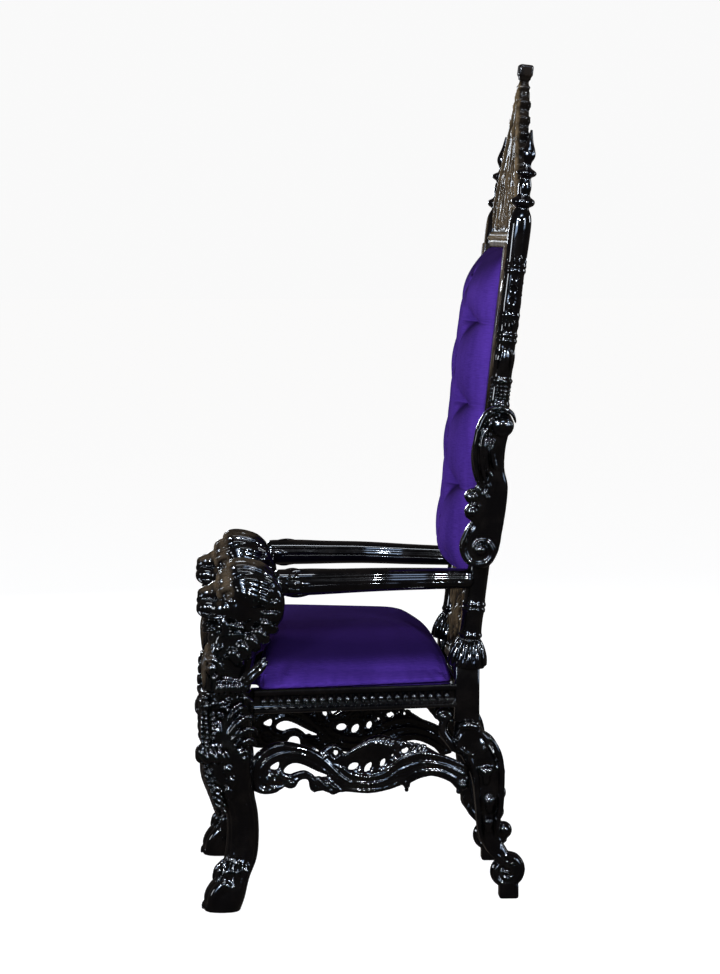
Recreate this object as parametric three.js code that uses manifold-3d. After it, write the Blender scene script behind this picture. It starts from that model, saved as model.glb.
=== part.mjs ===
// A high-backed lion throne: carved and lacquered hardwood frame, a domed velvet seat and a deep-buttoned back.
// Millimetres, +Z up, the sitter faces -Y, and the origin is on the floor under the middle of the throne's box.
// Left is the sitter's left, at +X. Right-hand pieces are the left-hand ones mirrored in the X = 0 plane.
import * as THREE from "three";
import { mergeVertices } from "three/addons/utils/BufferGeometryUtils.js";
import Module from "manifold-3d";

// ---- driving dimensions -------------------------------------------------------------------------------------
const GAP = 0.3; // between pieces that touch
const RAIL_BOTTOM = 432;
const RAIL_TOP = 484;
const RAIL_THICKNESS = 44;
const FRONT_POST_X = 320; // centre of the front leg's corner block
const FRONT_POST_Y = -312;
const FRONT_POST_HALF = 57;
const SIDE_RAIL_FRONT_X = 316; // middle of the side rail at its front end
const SIDE_RAIL_REAR_X = 238; // and at the back post
const BACK_POST_Y = 216;
const BACK_POST_HALF = 27;
const BACK_POST_X = 232;
const BLOCK_BOTTOM = 398; // the square foot of the back post
const STILE_BASE_Z = 520; // where the turned stile starts
const STILE_TOP = new THREE.Vector3(280, 350, 1691); // tip of the turned stile's finial
const CREST_TOP_Z = 1842;
const SEAT_CROWN = 123; // height of the seat's dome above the rails
const LION_X = 330;
const LION_Y = -274;
const LION_Z = 682;

const BLACK = { color: 0x0b0808, roughness: 0.12, metalness: 0 };
const PURPLE = { color: 0x2f1080, roughness: 0.75, metalness: 0 };

const STILE_BASE = new THREE.Vector3(BACK_POST_X + 1, BACK_POST_Y, STILE_BASE_Z);
const STILE_LENGTH = STILE_TOP.distanceTo(STILE_BASE);
const RAKE = Math.atan2(STILE_TOP.y - STILE_BASE.y, STILE_TOP.z - STILE_BASE.z);
const TAU = 2 * Math.PI;

const wasm = await Module();
wasm.setup();

// ---- from three.js geometry to solids and back ----------------------------------------------------------------

/** The closed solid that a three.js geometry bounds, whichever way its faces were wound. */
function solid(geometry) {
  const bare = new THREE.BufferGeometry();
  bare.setAttribute("position", geometry.getAttribute("position"));
  bare.setIndex(geometry.index);
  const merged = mergeVertices(bare, 1e-3);
  const corners = merged.index.array;
  const kept = [];
  for (let i = 0; i < corners.length; i += 3) {
    const [a, b, c] = corners.slice(i, i + 3);
    if (a !== b && b !== c && c !== a) kept.push([a, b, c]);
  }
  const make = (triangles) =>
    new wasm.Manifold(
      new wasm.Mesh({
        numProp: 3,
        vertProperties: merged.attributes.position.array,
        triVerts: new Uint32Array(triangles.flat()),
      }),
    );
  const made = make(kept);
  return made.volume() > 0 ? made : make(kept.map(([a, b, c]) => [a, c, b]));
}

/** All the solids as one. */
function join(...solids) {
  return wasm.Manifold.union(solids.flat());
}

/** A solid with room for its neighbours: each is cut away where it stands, a gap's width nearer along each direction. */
function clear(piece, neighbours, directions) {
  let left = piece;
  for (const neighbour of neighbours) {
    for (const [x, y, z] of directions) {
      left = left.subtract(neighbour.translate([x * GAP, y * GAP, z * GAP]));
    }
  }
  return largest(left);
}

/** The largest separate body of a solid. */
function largest(piece) {
  return piece.decompose().reduce((a, b) => (a.volume() > b.volume() ? a : b));
}

/** A named mesh of a solid. */
function piece(name, body, finish) {
  const { vertProperties, triVerts, numProp } = body.getMesh();
  const positions = new Float32Array((vertProperties.length / numProp) * 3);
  for (let i = 0; i < positions.length / 3; i++) {
    positions.set(vertProperties.subarray(i * numProp, i * numProp + 3), i * 3);
  }
  const geometry = new THREE.BufferGeometry();
  geometry.setAttribute("position", new THREE.BufferAttribute(positions, 3));
  geometry.setIndex(new THREE.BufferAttribute(triVerts, 1));
  geometry.computeVertexNormals();
  const mesh = new THREE.Mesh(geometry, new THREE.MeshStandardMaterial(finish));
  mesh.name = name;
  return mesh;
}

/** The left-hand piece and its mirror image, as two named meshes. */
function pair(name, body, finish) {
  return [
    piece(`${name}_left`, body, finish),
    piece(`${name}_right`, body.mirror([1, 0, 0]), finish),
  ];
}

// ---- shapes -----------------------------------------------------------------------------------------------

/** A closed skin of rows of points: a cylinder whose vertices are moved by place(row, cos, sin). */
function skin(rows, sides, place, turned = 0) {
  const geometry = new THREE.CylinderGeometry(1, 1, 1, sides, rows - 1, false, turned);
  const at = geometry.getAttribute("position");
  for (let i = 0; i < at.count; i++) {
    const row = Math.round((0.5 - at.getY(i)) * (rows - 1));
    const to = place(row, at.getX(i), at.getZ(i));
    at.setXYZ(i, to.x, to.y, to.z);
  }
  return solid(geometry);
}

/** A square-ish ring: the unit circle pushed out towards its square, by squareness from 0 to 1. */
function squared(cos, sin, squareness) {
  const reach = Math.max(Math.abs(cos), Math.abs(sin), 1e-6);
  const grow = 1 + squareness * (Math.hypot(cos, sin) / reach - 1);
  return [cos * grow, sin * grow];
}

/** An upright limb through level sections [z, middle x, half width, middle y, half depth]. */
function limb(sections, sides, squareness = 0) {
  return skin(sections.length, sides, (row, cos, sin) => {
    const [z, x, halfX, y, halfY] = sections[row];
    const [c, s] = squared(cos, sin, squareness);
    return new THREE.Vector3(x + halfX * c, y + halfY * s, z);
  });
}

/** A tube of oval section along a curve. Its section is flat(t) wide along `across` and thick(t) in the bend's plane. */
function tube(points, steps, sides, flat, thick, across = new THREE.Vector3(1, 0, 0), turned = 0) {
  const curve = new THREE.CatmullRomCurve3(points);
  const place = (row, cos, sin) => {
    const t = row / steps;
    const tangent = curve.getTangentAt(t);
    const out = new THREE.Vector3().crossVectors(tangent, across).normalize();
    const side = new THREE.Vector3().crossVectors(out, tangent);
    return curve
      .getPointAt(t)
      .addScaledVector(side, cos * flat(t))
      .addScaledVector(out, sin * thick(t));
  };
  return skin(steps + 1, sides, place, turned);
}

/** An ellipsoid. */
function ball(x, y, z, radiusX, radiusY, radiusZ, across = 8, down = 5) {
  const geometry = new THREE.SphereGeometry(1, across, down);
  geometry.scale(radiusX, radiusZ, radiusY);
  geometry.rotateX(Math.PI / 2);
  geometry.translate(x, y, z);
  return solid(geometry);
}

/** A box between two corners. */
function block([x0, y0, z0], [x1, y1, z1]) {
  const geometry = new THREE.BoxGeometry(x1 - x0, y1 - y0, z1 - z0);
  geometry.translate((x0 + x1) / 2, (y0 + y1) / 2, (z0 + z1) / 2);
  return solid(geometry);
}

/** The points of a spiral in a plane of (u, v), from an outer radius inwards. */
function spiral(u, v, outer, inner, start, turns, steps) {
  return Array.from({ length: steps + 1 }, (_, i) => {
    const share = i / steps;
    const angle = start + turns * TAU * share;
    const radius = outer + (inner - outer) * share;
    return [u + radius * Math.cos(angle), v + radius * Math.sin(angle)];
  });
}

/** A closed outline extruded by depth along +Z of its own plane. */
function extruded(outline, depth, holes = []) {
  const shape = new THREE.Shape(outline.map(([x, y]) => new THREE.Vector2(x, y)));
  shape.holes = holes.map((hole) => new THREE.Path(hole.map(([x, y]) => new THREE.Vector2(x, y))));
  return new THREE.ExtrudeGeometry(shape, { depth, bevelEnabled: false, curveSegments: 6 });
}

/** A smooth closed outline through a few points, as a list of count points. */
function smoothOutline(points, count) {
  const curve = new THREE.CatmullRomCurve3(
    points.map(([x, y]) => new THREE.Vector3(x, y, 0)),
    true,
  );
  return curve.getPoints(count).slice(0, count).map(({ x, y }) => [x, y]);
}

/** A cylinder along X: a volute's eye or a scroll's end. */
function drum(x, y, z, radius, width, sides = 10) {
  const geometry = new THREE.CylinderGeometry(radius, radius, width, sides);
  geometry.rotateZ(Math.PI / 2);
  geometry.translate(x, y, z);
  return solid(geometry);
}

const FLOOR = block([-900, -900, -200], [900, 900, 0]);

// ---- front legs and the lions that carry the arms ----------------------------------------------------------

/** The left front leg: corner block, carved knee, cabriole shin and a lion's paw. */
function frontLeg() {
  const x = FRONT_POST_X;
  const y = FRONT_POST_Y;
  const half = FRONT_POST_HALF;
  const body = limb(
    [
      [RAIL_TOP, x, half - 6, y, half],
      [RAIL_BOTTOM - 6, x, half - 6, y, half],
      [392, x + 1, half - 3, y - 1, half + 1],
      [345, x + 5, half + 1, y + 3, half + 2],
      [300, x + 2, half - 6, y + 9, half - 5],
      [258, x - 5, half - 14, y + 18, half - 14],
      [212, x - 11, half - 21, y + 32, half - 21],
      [160, x - 15, half - 22, y + 35, half - 22],
      [112, x - 14, half - 21, y + 29, half - 21],
      [52, x - 5, half - 14, y + 4, half - 14],
      [14, x - 4, half - 10, y - 12, half - 15],
      [0, x - 4, half - 12, y - 12, half - 19],
    ],
    9,
    0.45,
  );
  const toes = [-1.5, -0.5, 0.5, 1.5].map((step) => {
    const side = x - 4 + step * 21;
    return ball(side, y - 44 + Math.abs(step) * 7, 17, 13, 25, 20, 5, 3);
  });
  const wrist = ball(x - 8, y + 12, 78, 40, 40, 13, 7, 3);
  const kneeLeaf = tube(
    [
      new THREE.Vector3(x + 4, y - 46, 404),
      new THREE.Vector3(x + 8, y - 43, 345),
      new THREE.Vector3(x + 4, y - 22, 280),
      new THREE.Vector3(x - 6, y - 12, 218),
    ],
    4,
    4,
    (t) => 42 * (1 - 0.7 * t),
    () => 14,
  );
  const kneeScroll = drum(x + 6, y + 30, 378, 24, 2 * half - 2, 7);
  return join(body, wrist, kneeLeaf, kneeScroll, ...toes).subtract(FLOOR);
}

/** The left lion: chest and post on the corner block, head, muzzle, brow, ears and a ring of mane locks. */
function lion() {
  const x = LION_X;
  const y = LION_Y;
  const z = LION_Z;
  const maneRows = [
    [-40, 52],
    [-20, 76],
    [12, 81],
    [56, 76],
    [88, 46],
  ];
  const locks = 8;
  const mane = skin(maneRows.length, locks * 2, (row, cos, sin) => {
    const [along, reach] = maneRows[row];
    const lobe = Math.cos(locks * Math.atan2(sin, cos));
    const radius = reach * (1 + 0.07 * lobe) * Math.hypot(cos, sin);
    const angle = Math.atan2(sin, cos);
    return new THREE.Vector3(
      x + 0.88 * radius * Math.cos(angle),
      y + along,
      z + 1.04 * radius * Math.sin(angle),
    );
  });
  const chest = limb(
    [
      [630, x - 2, 54, y - 20, 62],
      [596, x - 4, 52, y - 26, 62],
      [560, x - 7, 49, y - 32, 55],
      [525, x - 9, 48, y - 40, 50],
      [RAIL_TOP + GAP, x - 10, 50, y - 39, 53],
    ],
    8,
    0.4,
  );
  const face = [
    ball(x, y - 34, z + 10, 50, 46, 58, 7, 5),
    ball(x, y - 66, z + 9, 31, 38, 25, 6, 4),
    ball(x, y - 74, z - 6, 39, 32, 22, 6, 4),
    ball(x, y - 94, z + 15, 17, 14, 14, 5, 3),
    ball(x, y - 62, z - 58, 30, 36, 20, 6, 4),
    ball(x + 23, y - 50, z + 38, 19, 16, 12, 5, 3),
    ball(x - 23, y - 50, z + 38, 19, 16, 12, 5, 3),
    ball(x + 46, y - 14, z + 54, 13, 10, 17, 4, 3),
    ball(x - 46, y - 14, z + 54, 13, 10, 17, 4, 3),
  ];
  const frontScroll = drum(x - 8, y - 79, 520, 21, 78, 7);
  const leaf = tube(
    [
      new THREE.Vector3(x - 4, y - 12, 492),
      new THREE.Vector3(x, y + 18, 524),
      new THREE.Vector3(x + 3, y + 44, 556),
      new THREE.Vector3(x + 4, y + 60, 590),
    ],
    3,
    4,
    (t) => 22 * Math.sin(Math.PI * (0.25 + 0.72 * t)),
    (t) => 9 * (1 - 0.7 * t),
  );
  return join(mane, chest, frontScroll, leaf, ...face);
}

/** The left arm rail, from the back of the mane to the stile, bowing in towards the back. */
function armRail() {
  return tube(
    [
      new THREE.Vector3(LION_X, LION_Y + 68, 716),
      new THREE.Vector3(LION_X - 8, LION_Y + 142, 716),
      new THREE.Vector3(LION_X - 33, LION_Y + 282, 718),
      new THREE.Vector3(LION_X - 67, LION_Y + 402, 716),
      new THREE.Vector3(LION_X - 86, BACK_POST_Y + 14, 714),
    ],
    7,
    8,
    (t) => 31 - 8 * t,
    (t) => 30 - 7 * t,
  );
}

// ---- seat frame ---------------------------------------------------------------------------------------------

/** A moulded seat rail with a row of beads on its outer face, lying along +X from 0, its outer face at -Y. */
function mouldedRail(length, beadPitch) {
  const t = RAIL_THICKNESS / 2;
  const height = RAIL_TOP - RAIL_BOTTOM;
  const profile = [
    [t, 0],
    [t, height],
    [-t, height],
    [-t, height - 8],
    [-t + 5, height - 14],
    [-t + 5, 13],
    [-t, 8],
    [-t, 0],
  ];
  const geometry = extruded(profile, length);
  geometry.rotateX(Math.PI / 2);
  geometry.rotateZ(Math.PI / 2);
  const bar = solid(geometry);
  const count = Math.floor(length / beadPitch) - 1;
  const start = (length - (count - 1) * beadPitch) / 2;
  const beads = Array.from({ length: count }, (_, i) => {
    const bead = new THREE.OctahedronGeometry(10);
    bead.translate(start + i * beadPitch, -t + 5, height / 2);
    return solid(indexed(bead));
  });
  return join(bar, ...beads);
}

/** A geometry with an index, which an octahedron lacks. */
function indexed(geometry) {
  const bare = new THREE.BufferGeometry();
  bare.setAttribute("position", geometry.getAttribute("position"));
  return mergeVertices(bare);
}

const SIDE_RAIL_FRONT_Y = FRONT_POST_Y + FRONT_POST_HALF;
const SIDE_RAIL_REAR_Y = BACK_POST_Y - BACK_POST_HALF;
const SIDE_RUN = SIDE_RAIL_REAR_Y - SIDE_RAIL_FRONT_Y;
const SIDE_ANGLE = Math.atan2(SIDE_RAIL_FRONT_X - SIDE_RAIL_REAR_X, SIDE_RUN);

/** Sets a solid that lies along +X on the left side's slanting line, its -Y face turned outwards. */
function onLeftSide(body, z) {
  const degrees = 90 + THREE.MathUtils.radToDeg(SIDE_ANGLE);
  return body.rotate([0, 0, degrees]).translate([SIDE_RAIL_FRONT_X, SIDE_RAIL_FRONT_Y, z]);
}

/** The left side rail, mitred square to the posts. */
function sideRail(posts) {
  const length = SIDE_RUN / Math.cos(SIDE_ANGLE) + 60;
  const long = onLeftSide(mouldedRail(length, 30).translate([-30, 0, 0]), RAIL_BOTTOM);
  const room = block(
    [0, SIDE_RAIL_FRONT_Y - 40, RAIL_BOTTOM - 1],
    [400, SIDE_RAIL_REAR_Y - GAP, RAIL_TOP + 1],
  );
  return clear(long.intersect(room), posts, [[0, 1, 0]]);
}

/** The front rail, between the front posts. */
function frontRail(posts) {
  const half = FRONT_POST_X;
  const rail = mouldedRail(2 * half, 30).translate([-half, FRONT_POST_Y - 14, RAIL_BOTTOM]);
  return clear(rail, posts, [[1, 0, 0], [-1, 0, 0]]);
}

/** The plain back rail, between the back posts. */
function backRail() {
  const half = BACK_POST_X - BACK_POST_HALF - GAP;
  return block(
    [-half, BACK_POST_Y - 22, RAIL_BOTTOM],
    [half, BACK_POST_Y + 22, RAIL_TOP],
  );
}

// ---- aprons: pierced scrollwork below the rails ---------------------------------------------------------------

/** A scroll of an openwork panel in the (u, v) plane: a ribbon 2 * deep thick whose width runs from start to end. */
function strap(points, steps, deep, start, end) {
  return tube(
    points.map(([u, v]) => new THREE.Vector3(u, 0, v)),
    steps,
    4,
    () => deep * Math.SQRT2,
    (t) => (start + (end - start) * t) * Math.SQRT2,
    new THREE.Vector3(0, 1, 0),
    Math.PI / 4,
  );
}

/** A boss of an openwork panel, across its plane. */
function boss(u, v, radius, deep, sides = 6) {
  const geometry = new THREE.CylinderGeometry(radius, radius, 2 * deep, sides);
  geometry.translate(u, 0, 0);
  return solid(geometry).translate([0, 0, v]);
}

/** A pierced board in the (u, v) plane, centred on it, from an outline and the holes through it. */
function fretted(outline, holes, thickness) {
  const geometry = extruded(outline, thickness, holes);
  geometry.rotateX(Math.PI / 2);
  geometry.translate(0, thickness / 2, 0);
  return solid(geometry);
}

/** A round-ended slot through a fretted board: a lens of the given half length and half height, tilted. */
function lens(u, v, halfLength, halfHeight, tilt = 0) {
  return Array.from({ length: 5 }, (_, i) => {
    const along = halfLength * Math.cos((i / 5) * TAU);
    const over = halfHeight * Math.sin((i / 5) * TAU);
    return [u + along * Math.cos(tilt) - over * Math.sin(tilt), v + along * Math.sin(tilt) + over * Math.cos(tilt)];
  });
}

/** The left side apron: a C-scroll at the knee, a leafy crest, a scalloped lower edge and an arch to the back leg. */
function sideApron() {
  const lower = [
    [-6, 262], [22, 250], [46, 251], [68, 272], [84, 270], [98, 282], [118, 282], [130, 256], [177, 246],
    [257, 249], [313, 265], [341, 261], [352, 279], [385, 285], [420, 283], [484, 258],
  ];
  const upper = [
    [484, 300], [439, 319], [407, 331], [345, 332], [331, 350], [313, 364], [281, 377], [251, 370],
    [213, 346], [189, 325], [145, 337], [112, 356], [80, 364], [50, 361], [27, 347], [-6, 307],
  ];
  const holes = [
    lens(50, 316, 18, 13, 0.4),
    lens(84, 310, 14, 14),
    lens(142, 298, 18, 8, -0.4),
    lens(222, 311, 12, 8, 0.3),
    lens(256, 311, 11, 8, 0.3),
    lens(290, 320, 11, 8, 0.3),
  ];
  const shell = boss(272, 342, 28, 15, 7);
  return join(fretted(lower.concat(upper), holes, 20), shell, boss(34, 280, 22, 16, 7));
}

/** Half an outline followed by its mirror image in u = 0: the half runs from the middle's foot to its top. */
function bothSides(half) {
  const mirrored = half
    .filter(([u]) => u > 0)
    .reverse()
    .map(([u, v]) => [-u, v]);
  return half.concat(mirrored);
}

/** The front apron: two C-scrolls that meet under a fluted shell. */
function frontApron() {
  const half = [
    [0, 238], [36, 262], [66, 254], [100, 272], [128, 262], [150, 284], [186, 268], [206, 252], [240, 248],
    [290, 262], [290, 318], [256, 350], [214, 368], [168, 362], [146, 376], [104, 384], [70, 372], [48, 396], [0, 406],
  ];
  const holes = [
    lens(226, 318, 20, 14, -0.4),
    lens(184, 318, 14, 16),
    lens(136, 338, 18, 10, -0.5),
    lens(124, 298, 18, 8, 0.4),
    lens(86, 330, 8, 22, 0.3),
  ];
  const mirrored = holes.map((hole) => hole.map(([u, v]) => [-u, v]));
  const eye = boss(234, 276, 22, 16, 7);
  const fan = Array.from({ length: 13 }, (_, i) => {
    const angle = -0.3 + (Math.PI + 0.6) * (i / 12);
    const reach = i % 2 === 1 ? 66 : 56;
    return [reach * Math.cos(angle), 330 + reach * Math.sin(angle)];
  });
  const shell = fretted(fan.concat([[0, 258]]), [], 34);
  const board = fretted(bothSides(half), holes.concat(mirrored), 20);
  return join(board, eye, eye.mirror([1, 0, 0]), shell).translate([0, FRONT_POST_Y - 14, 0]);
}

/** The back apron: a plain arched board under the back rail. */
function backApron() {
  const half = BACK_POST_X - 35;
  const outline = [
    [-half, RAIL_BOTTOM - GAP],
    [-half, 352],
    [-half + 50, 384],
    [-half / 3, 402],
    [half / 3, 402],
    [half - 50, 384],
    [half, 352],
    [half, RAIL_BOTTOM - GAP],
  ];
  const geometry = extruded(outline, 22);
  geometry.rotateX(Math.PI / 2);
  geometry.translate(0, BACK_POST_Y + 11, 0);
  return solid(geometry);
}

// ---- back legs and stiles -------------------------------------------------------------------------------------

/** The left back leg: a volute under the post's block, a tapering calf, a pearl and a scroll foot on its pad. */
function rearLeg() {
  const x = BACK_POST_X;
  const y = BACK_POST_Y;
  const top = BLOCK_BOTTOM - GAP;
  const calf = limb(
    [
      [top, x, 27, y + 1, 26],
      [362, x, 30, y + 7, 37],
      [330, x - 1, 30, y + 23, 41],
      [300, x - 3, 29, y + 38, 38],
      [248, x - 6, 27, y + 48, 32],
      [180, x - 10, 24, y + 48, 26],
      [126, x - 12, 22, y + 53, 23],
      [92, x - 14, 21, y + 78, 30],
    ],
    7,
    0.4,
  );
  const foot = tube(
    spiral(y + 90, 59, 31, 17, 0.62 * Math.PI, -0.86, 7).map(([v, w]) => new THREE.Vector3(x - 16, v, w)),
    7,
    4,
    () => 23 * Math.SQRT2,
    (t) => (10 - 2 * t) * Math.SQRT2,
    new THREE.Vector3(1, 0, 0),
    Math.PI / 4,
  );
  const body = join(
    calf,
    foot,
    drum(x - 16, y + 90, 59, 25, 40, 8),
    drum(x - 1, y + 6, 356, 30, 66, 7),
    ball(x - 13, y + 84, 152, 21, 19, 20, 6, 3),
    ball(x - 14, y + 64, 112, 22, 20, 18, 5, 3),
    block([x - 36, y + 73, 0], [x + 4, y + 118, 34]),
    tube(
      [
        new THREE.Vector3(x + 2, y - 66, 418),
        new THREE.Vector3(x + 2, y - 44, 404),
        new THREE.Vector3(x + 2, y - 48, 380),
        new THREE.Vector3(x + 1, y - 26, 350),
        new THREE.Vector3(x, y + 2, 322),
      ],
      3,
      4,
      () => 22,
      (t) => 13 + 6 * t,
    ),
  );
  const room = block([0, 0, 0], [400, y - BACK_POST_HALF - GAP, RAIL_BOTTOM - GAP]).add(
    block([0, y - BACK_POST_HALF - GAP - 1, 0], [400, 500, top]),
  );
  return body.intersect(room);
}

// Radii of the turned stile against height above the floor, before the rake: bell, column, vase, rings, finial.
const STILE_PROFILE = [
  [521, 0], [521, 36], [530, 42], [552, 34], [578, 20], [590, 25], [598, 20],
  [640, 20], [650, 26], [662, 21], [1092, 25], [1099, 28], [1106, 22],
  [1146, 22], [1152, 27], [1158, 18], [1188, 27], [1226, 18], [1238, 25], [1250, 18],
  [1312, 25], [1334, 20], [1380, 22], [1387, 28], [1394, 22], [1440, 26], [1492, 25],
  [1524, 13], [1536, 25], [1546, 13], [1589, 12], [1597, 22], [1606, 8],
  [1634, 15], [1652, 9], [1691, 0],
];

/** Moves a solid from the stile's own frame, its axis along +Z from 0, to the left stile's raked and splayed line. */
function onLeftStile(body) {
  const lean = new THREE.Vector3().subVectors(STILE_TOP, STILE_BASE).normalize();
  const turn = new THREE.Quaternion().setFromUnitVectors(new THREE.Vector3(0, 0, 1), lean);
  const to = new THREE.Matrix4().compose(STILE_BASE, turn, new THREE.Vector3(1, 1, 1));
  return body.transform(to.elements);
}

/** The left back stile: a square block in the seat frame, then the raked turning up to its finial. */
function stile() {
  const stretch = STILE_LENGTH / (STILE_TOP.z - STILE_BASE.z);
  const profile = STILE_PROFILE.map(([z, r]) => new THREE.Vector2(r, (z - STILE_BASE.z) * stretch));
  const turning = new THREE.LatheGeometry(profile, 7);
  turning.rotateX(Math.PI / 2);
  const foot = block(
    [BACK_POST_X - BACK_POST_HALF, BACK_POST_Y - BACK_POST_HALF, BLOCK_BOTTOM],
    [BACK_POST_X + BACK_POST_HALF, BACK_POST_Y + BACK_POST_HALF, STILE_BASE_Z + 8],
  );
  return join(foot, onLeftStile(solid(turning)));
}

/** The left ear: a carved scroll bracket on the outside of the stile, its pearl at the top and volute below. */
function ear() {
  const outline = smoothOutline(
    [[-24, 568], [-40, 520], [-44, 472], [-30, 398], [-44, 376], [-42, 344], [-20, 328], [-40, 290], [-44, 256],
      [-20, 226], [18, 234], [38, 288], [38, 360], [38, 400], [24, 440], [22, 490], [34, 540], [8, 568]],
    22,
  );
  const board = extruded(outline, 30);
  board.rotateX(Math.PI / 2);
  board.rotateZ(Math.PI / 2);
  board.translate(16, 0, 0);
  const flute = (shift) =>
    tube(
      [[6, 560], [-18 + shift, 520], [-22 + shift, 470], [-10 + shift, 420], [-6 + shift, 390]].map(
        ([y, z]) => new THREE.Vector3(46, y, z),
      ),
      4,
      4,
      (t) => 9 - 4 * t,
      (t) => 9 - 3 * t,
    );
  return onLeftStile(
    join(
      solid(board),
      flute(-8),
      flute(12),
      ball(34, 18, 536, 22, 23, 23, 7, 4),
      ball(36, -38, 374, 15, 15, 15, 5, 3),
      ball(36, -42, 344, 14, 14, 14, 5, 3),
      drum(33, -16, 266, 26, 40, 8),
    ),
  );
}

// ---- the back: crest, splat, panel, buttoned pad ---------------------------------------------------------------

/** Leans a solid drawn upright in the X-Z plane, heights measured from the seat, back into the plane of the stiles. */
function onBack(body) {
  const lean = -THREE.MathUtils.radToDeg(RAKE);
  return body.rotate([lean, 0, 0]).translate([0, STILE_BASE.y, STILE_BASE.z]);
}

/** Height along the raked back of a point at height z above the floor. */
function up(z) {
  return (z - STILE_BASE_Z) / Math.cos(RAKE);
}

/** An openwork board of the back in the (x, height) plane, from half its outline and half its holes. */
function backBoard(half, holes, thickness) {
  const raise = (points) => points.map(([x, z]) => [x, up(z)]);
  const mirrored = holes.map((hole) => hole.map(([x, z]) => [-x, z]));
  return fretted(raise(bothSides(half)), holes.concat(mirrored).map(raise), thickness);
}

/** The crest: a pierced gable with crockets up its edges, a spire up its middle and a square cap. */
function crest(stiles) {
  const [footX, footZ] = [262, 1512];
  const [peakX, peakZ] = [24, 1764];
  const crockets = 5;
  const gable = Array.from({ length: 2 * crockets + 1 }, (_, i) => {
    const share = i / (2 * crockets);
    const out = i % 2 === 1 ? 13 : 0;
    return [footX + (peakX - footX) * share + out, footZ + (peakZ - footZ) * share + 1.3 * out];
  });
  const half = [[0, 1438], [270, 1438], ...gable, [15, 1772], [15, 1812], [25, 1814], [25, CREST_TOP_Z], [0, CREST_TOP_Z]];
  const holes = [
    lens(206, 1500, 28, 14, -0.3),
    lens(150, 1516, 18, 26, 0.4),
    lens(94, 1510, 22, 16, -0.3),
    lens(92, 1566, 14, 28, 0.5),
    lens(142, 1574, 16, 10, -0.8),
    lens(44, 1540, 12, 30, -0.2),
    lens(54, 1624, 13, 30, 0.5),
    lens(28, 1690, 7, 26, 0.3),
  ];
  const rail = block([-272, -15, up(1440)], [272, 15, up(1466)]);
  const spire = strap([[0, up(1466)], [0, up(1808)]], 1, 17, 17, 11);
  const eye = boss(182, up(1540), 15, 15, 5);
  const whole = join(backBoard(half, holes, 20), rail, spire, eye, eye.mirror([1, 0, 0]));
  return clear(onBack(whole), stiles, [[1, 0, 0], [-1, 0, 0]]);
}

/** The splat: a pierced board between the seat and the buttoned pad, with a boss in its middle. */
function splat(stiles) {
  const half = [[0, 492], [216, 492], [226, 706], [0, 706]];
  const holes = [
    lens(160, 548, 22, 30, 0.4),
    lens(166, 640, 20, 26, -0.5),
    lens(106, 596, 16, 34),
    lens(70, 540, 20, 16, 0.4),
    lens(76, 656, 22, 14, -0.4),
  ];
  const rail = block([-232, -14, up(682)], [232, 14, up(706)]);
  const whole = join(backBoard(half, holes, 20), rail, boss(0, up(600), 40, 14, 8));
  return clear(onBack(whole), stiles, [[1, 0, 0], [-1, 0, 0]]);
}

const PAD_BOTTOM = up(712);
const PAD_TOP = up(1434);
const PAD_HALF_BOTTOM = 214; // half width of the pad at its foot and at its top, between the splayed stiles
const PAD_HALF_TOP = 238;
const PAD_BASE = 20; // thickness at its edge
const PAD_PUFF = 66; // and how far the fullest tuft stands proud of that
const PAD_CROWN = 2.4; // how squarely the pad's section swells: 2 for an oval
const PAD_SHOULDER = 6; // how late it rounds over at the top, and at the foot
const PAD_HEEL = 24;
const TUFT_ACROSS = 0.8; // width of one diamond, as a share of the pad's half width
const TUFT_HEIGHT = 182; // and its height
const TUFT_ROW = up(1085); // a row with a button on each side of the middle line
const TUFT_STEPS = 4; // facets along one side of a diamond
const PAD_BACK = 2; // the pad's back face, behind the stiles' centre line
const PANEL_THICKNESS = 14;

/** Half the pad's width at a height along the back. */
function padHalf(height) {
  const share = (height - PAD_BOTTOM) / (PAD_TOP - PAD_BOTTOM);
  return PAD_HALF_BOTTOM + share * (PAD_HALF_TOP - PAD_HALF_BOTTOM);
}

/** Fullness of the tufting from 0, at a button or crease, to 1, at the middle of a diamond. */
function fullness(across, height) {
  const p = THREE.MathUtils.clamp(across / TUFT_ACROSS, -0.5, 0.5);
  const q = (height - TUFT_ROW) / TUFT_HEIGHT + 0.5;
  return Math.sqrt(Math.abs(Math.sin(Math.PI * (p + q)) * Math.sin(Math.PI * (p - q))));
}

/** How far the pad stands in front of its base, at a share across (-1 to 1) and a height along the back. */
function puff(across, height) {
  const edge = (2 * height - PAD_BOTTOM - PAD_TOP) / (PAD_TOP - PAD_BOTTOM);
  const rim = (1 - Math.abs(across) ** PAD_CROWN) * (1 - Math.abs(edge) ** (edge > 0 ? PAD_SHOULDER : PAD_HEEL));
  return PAD_PUFF * Math.sqrt(Math.max(rim, 0)) * (0.5 + 0.5 * fullness(across, height));
}

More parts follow.
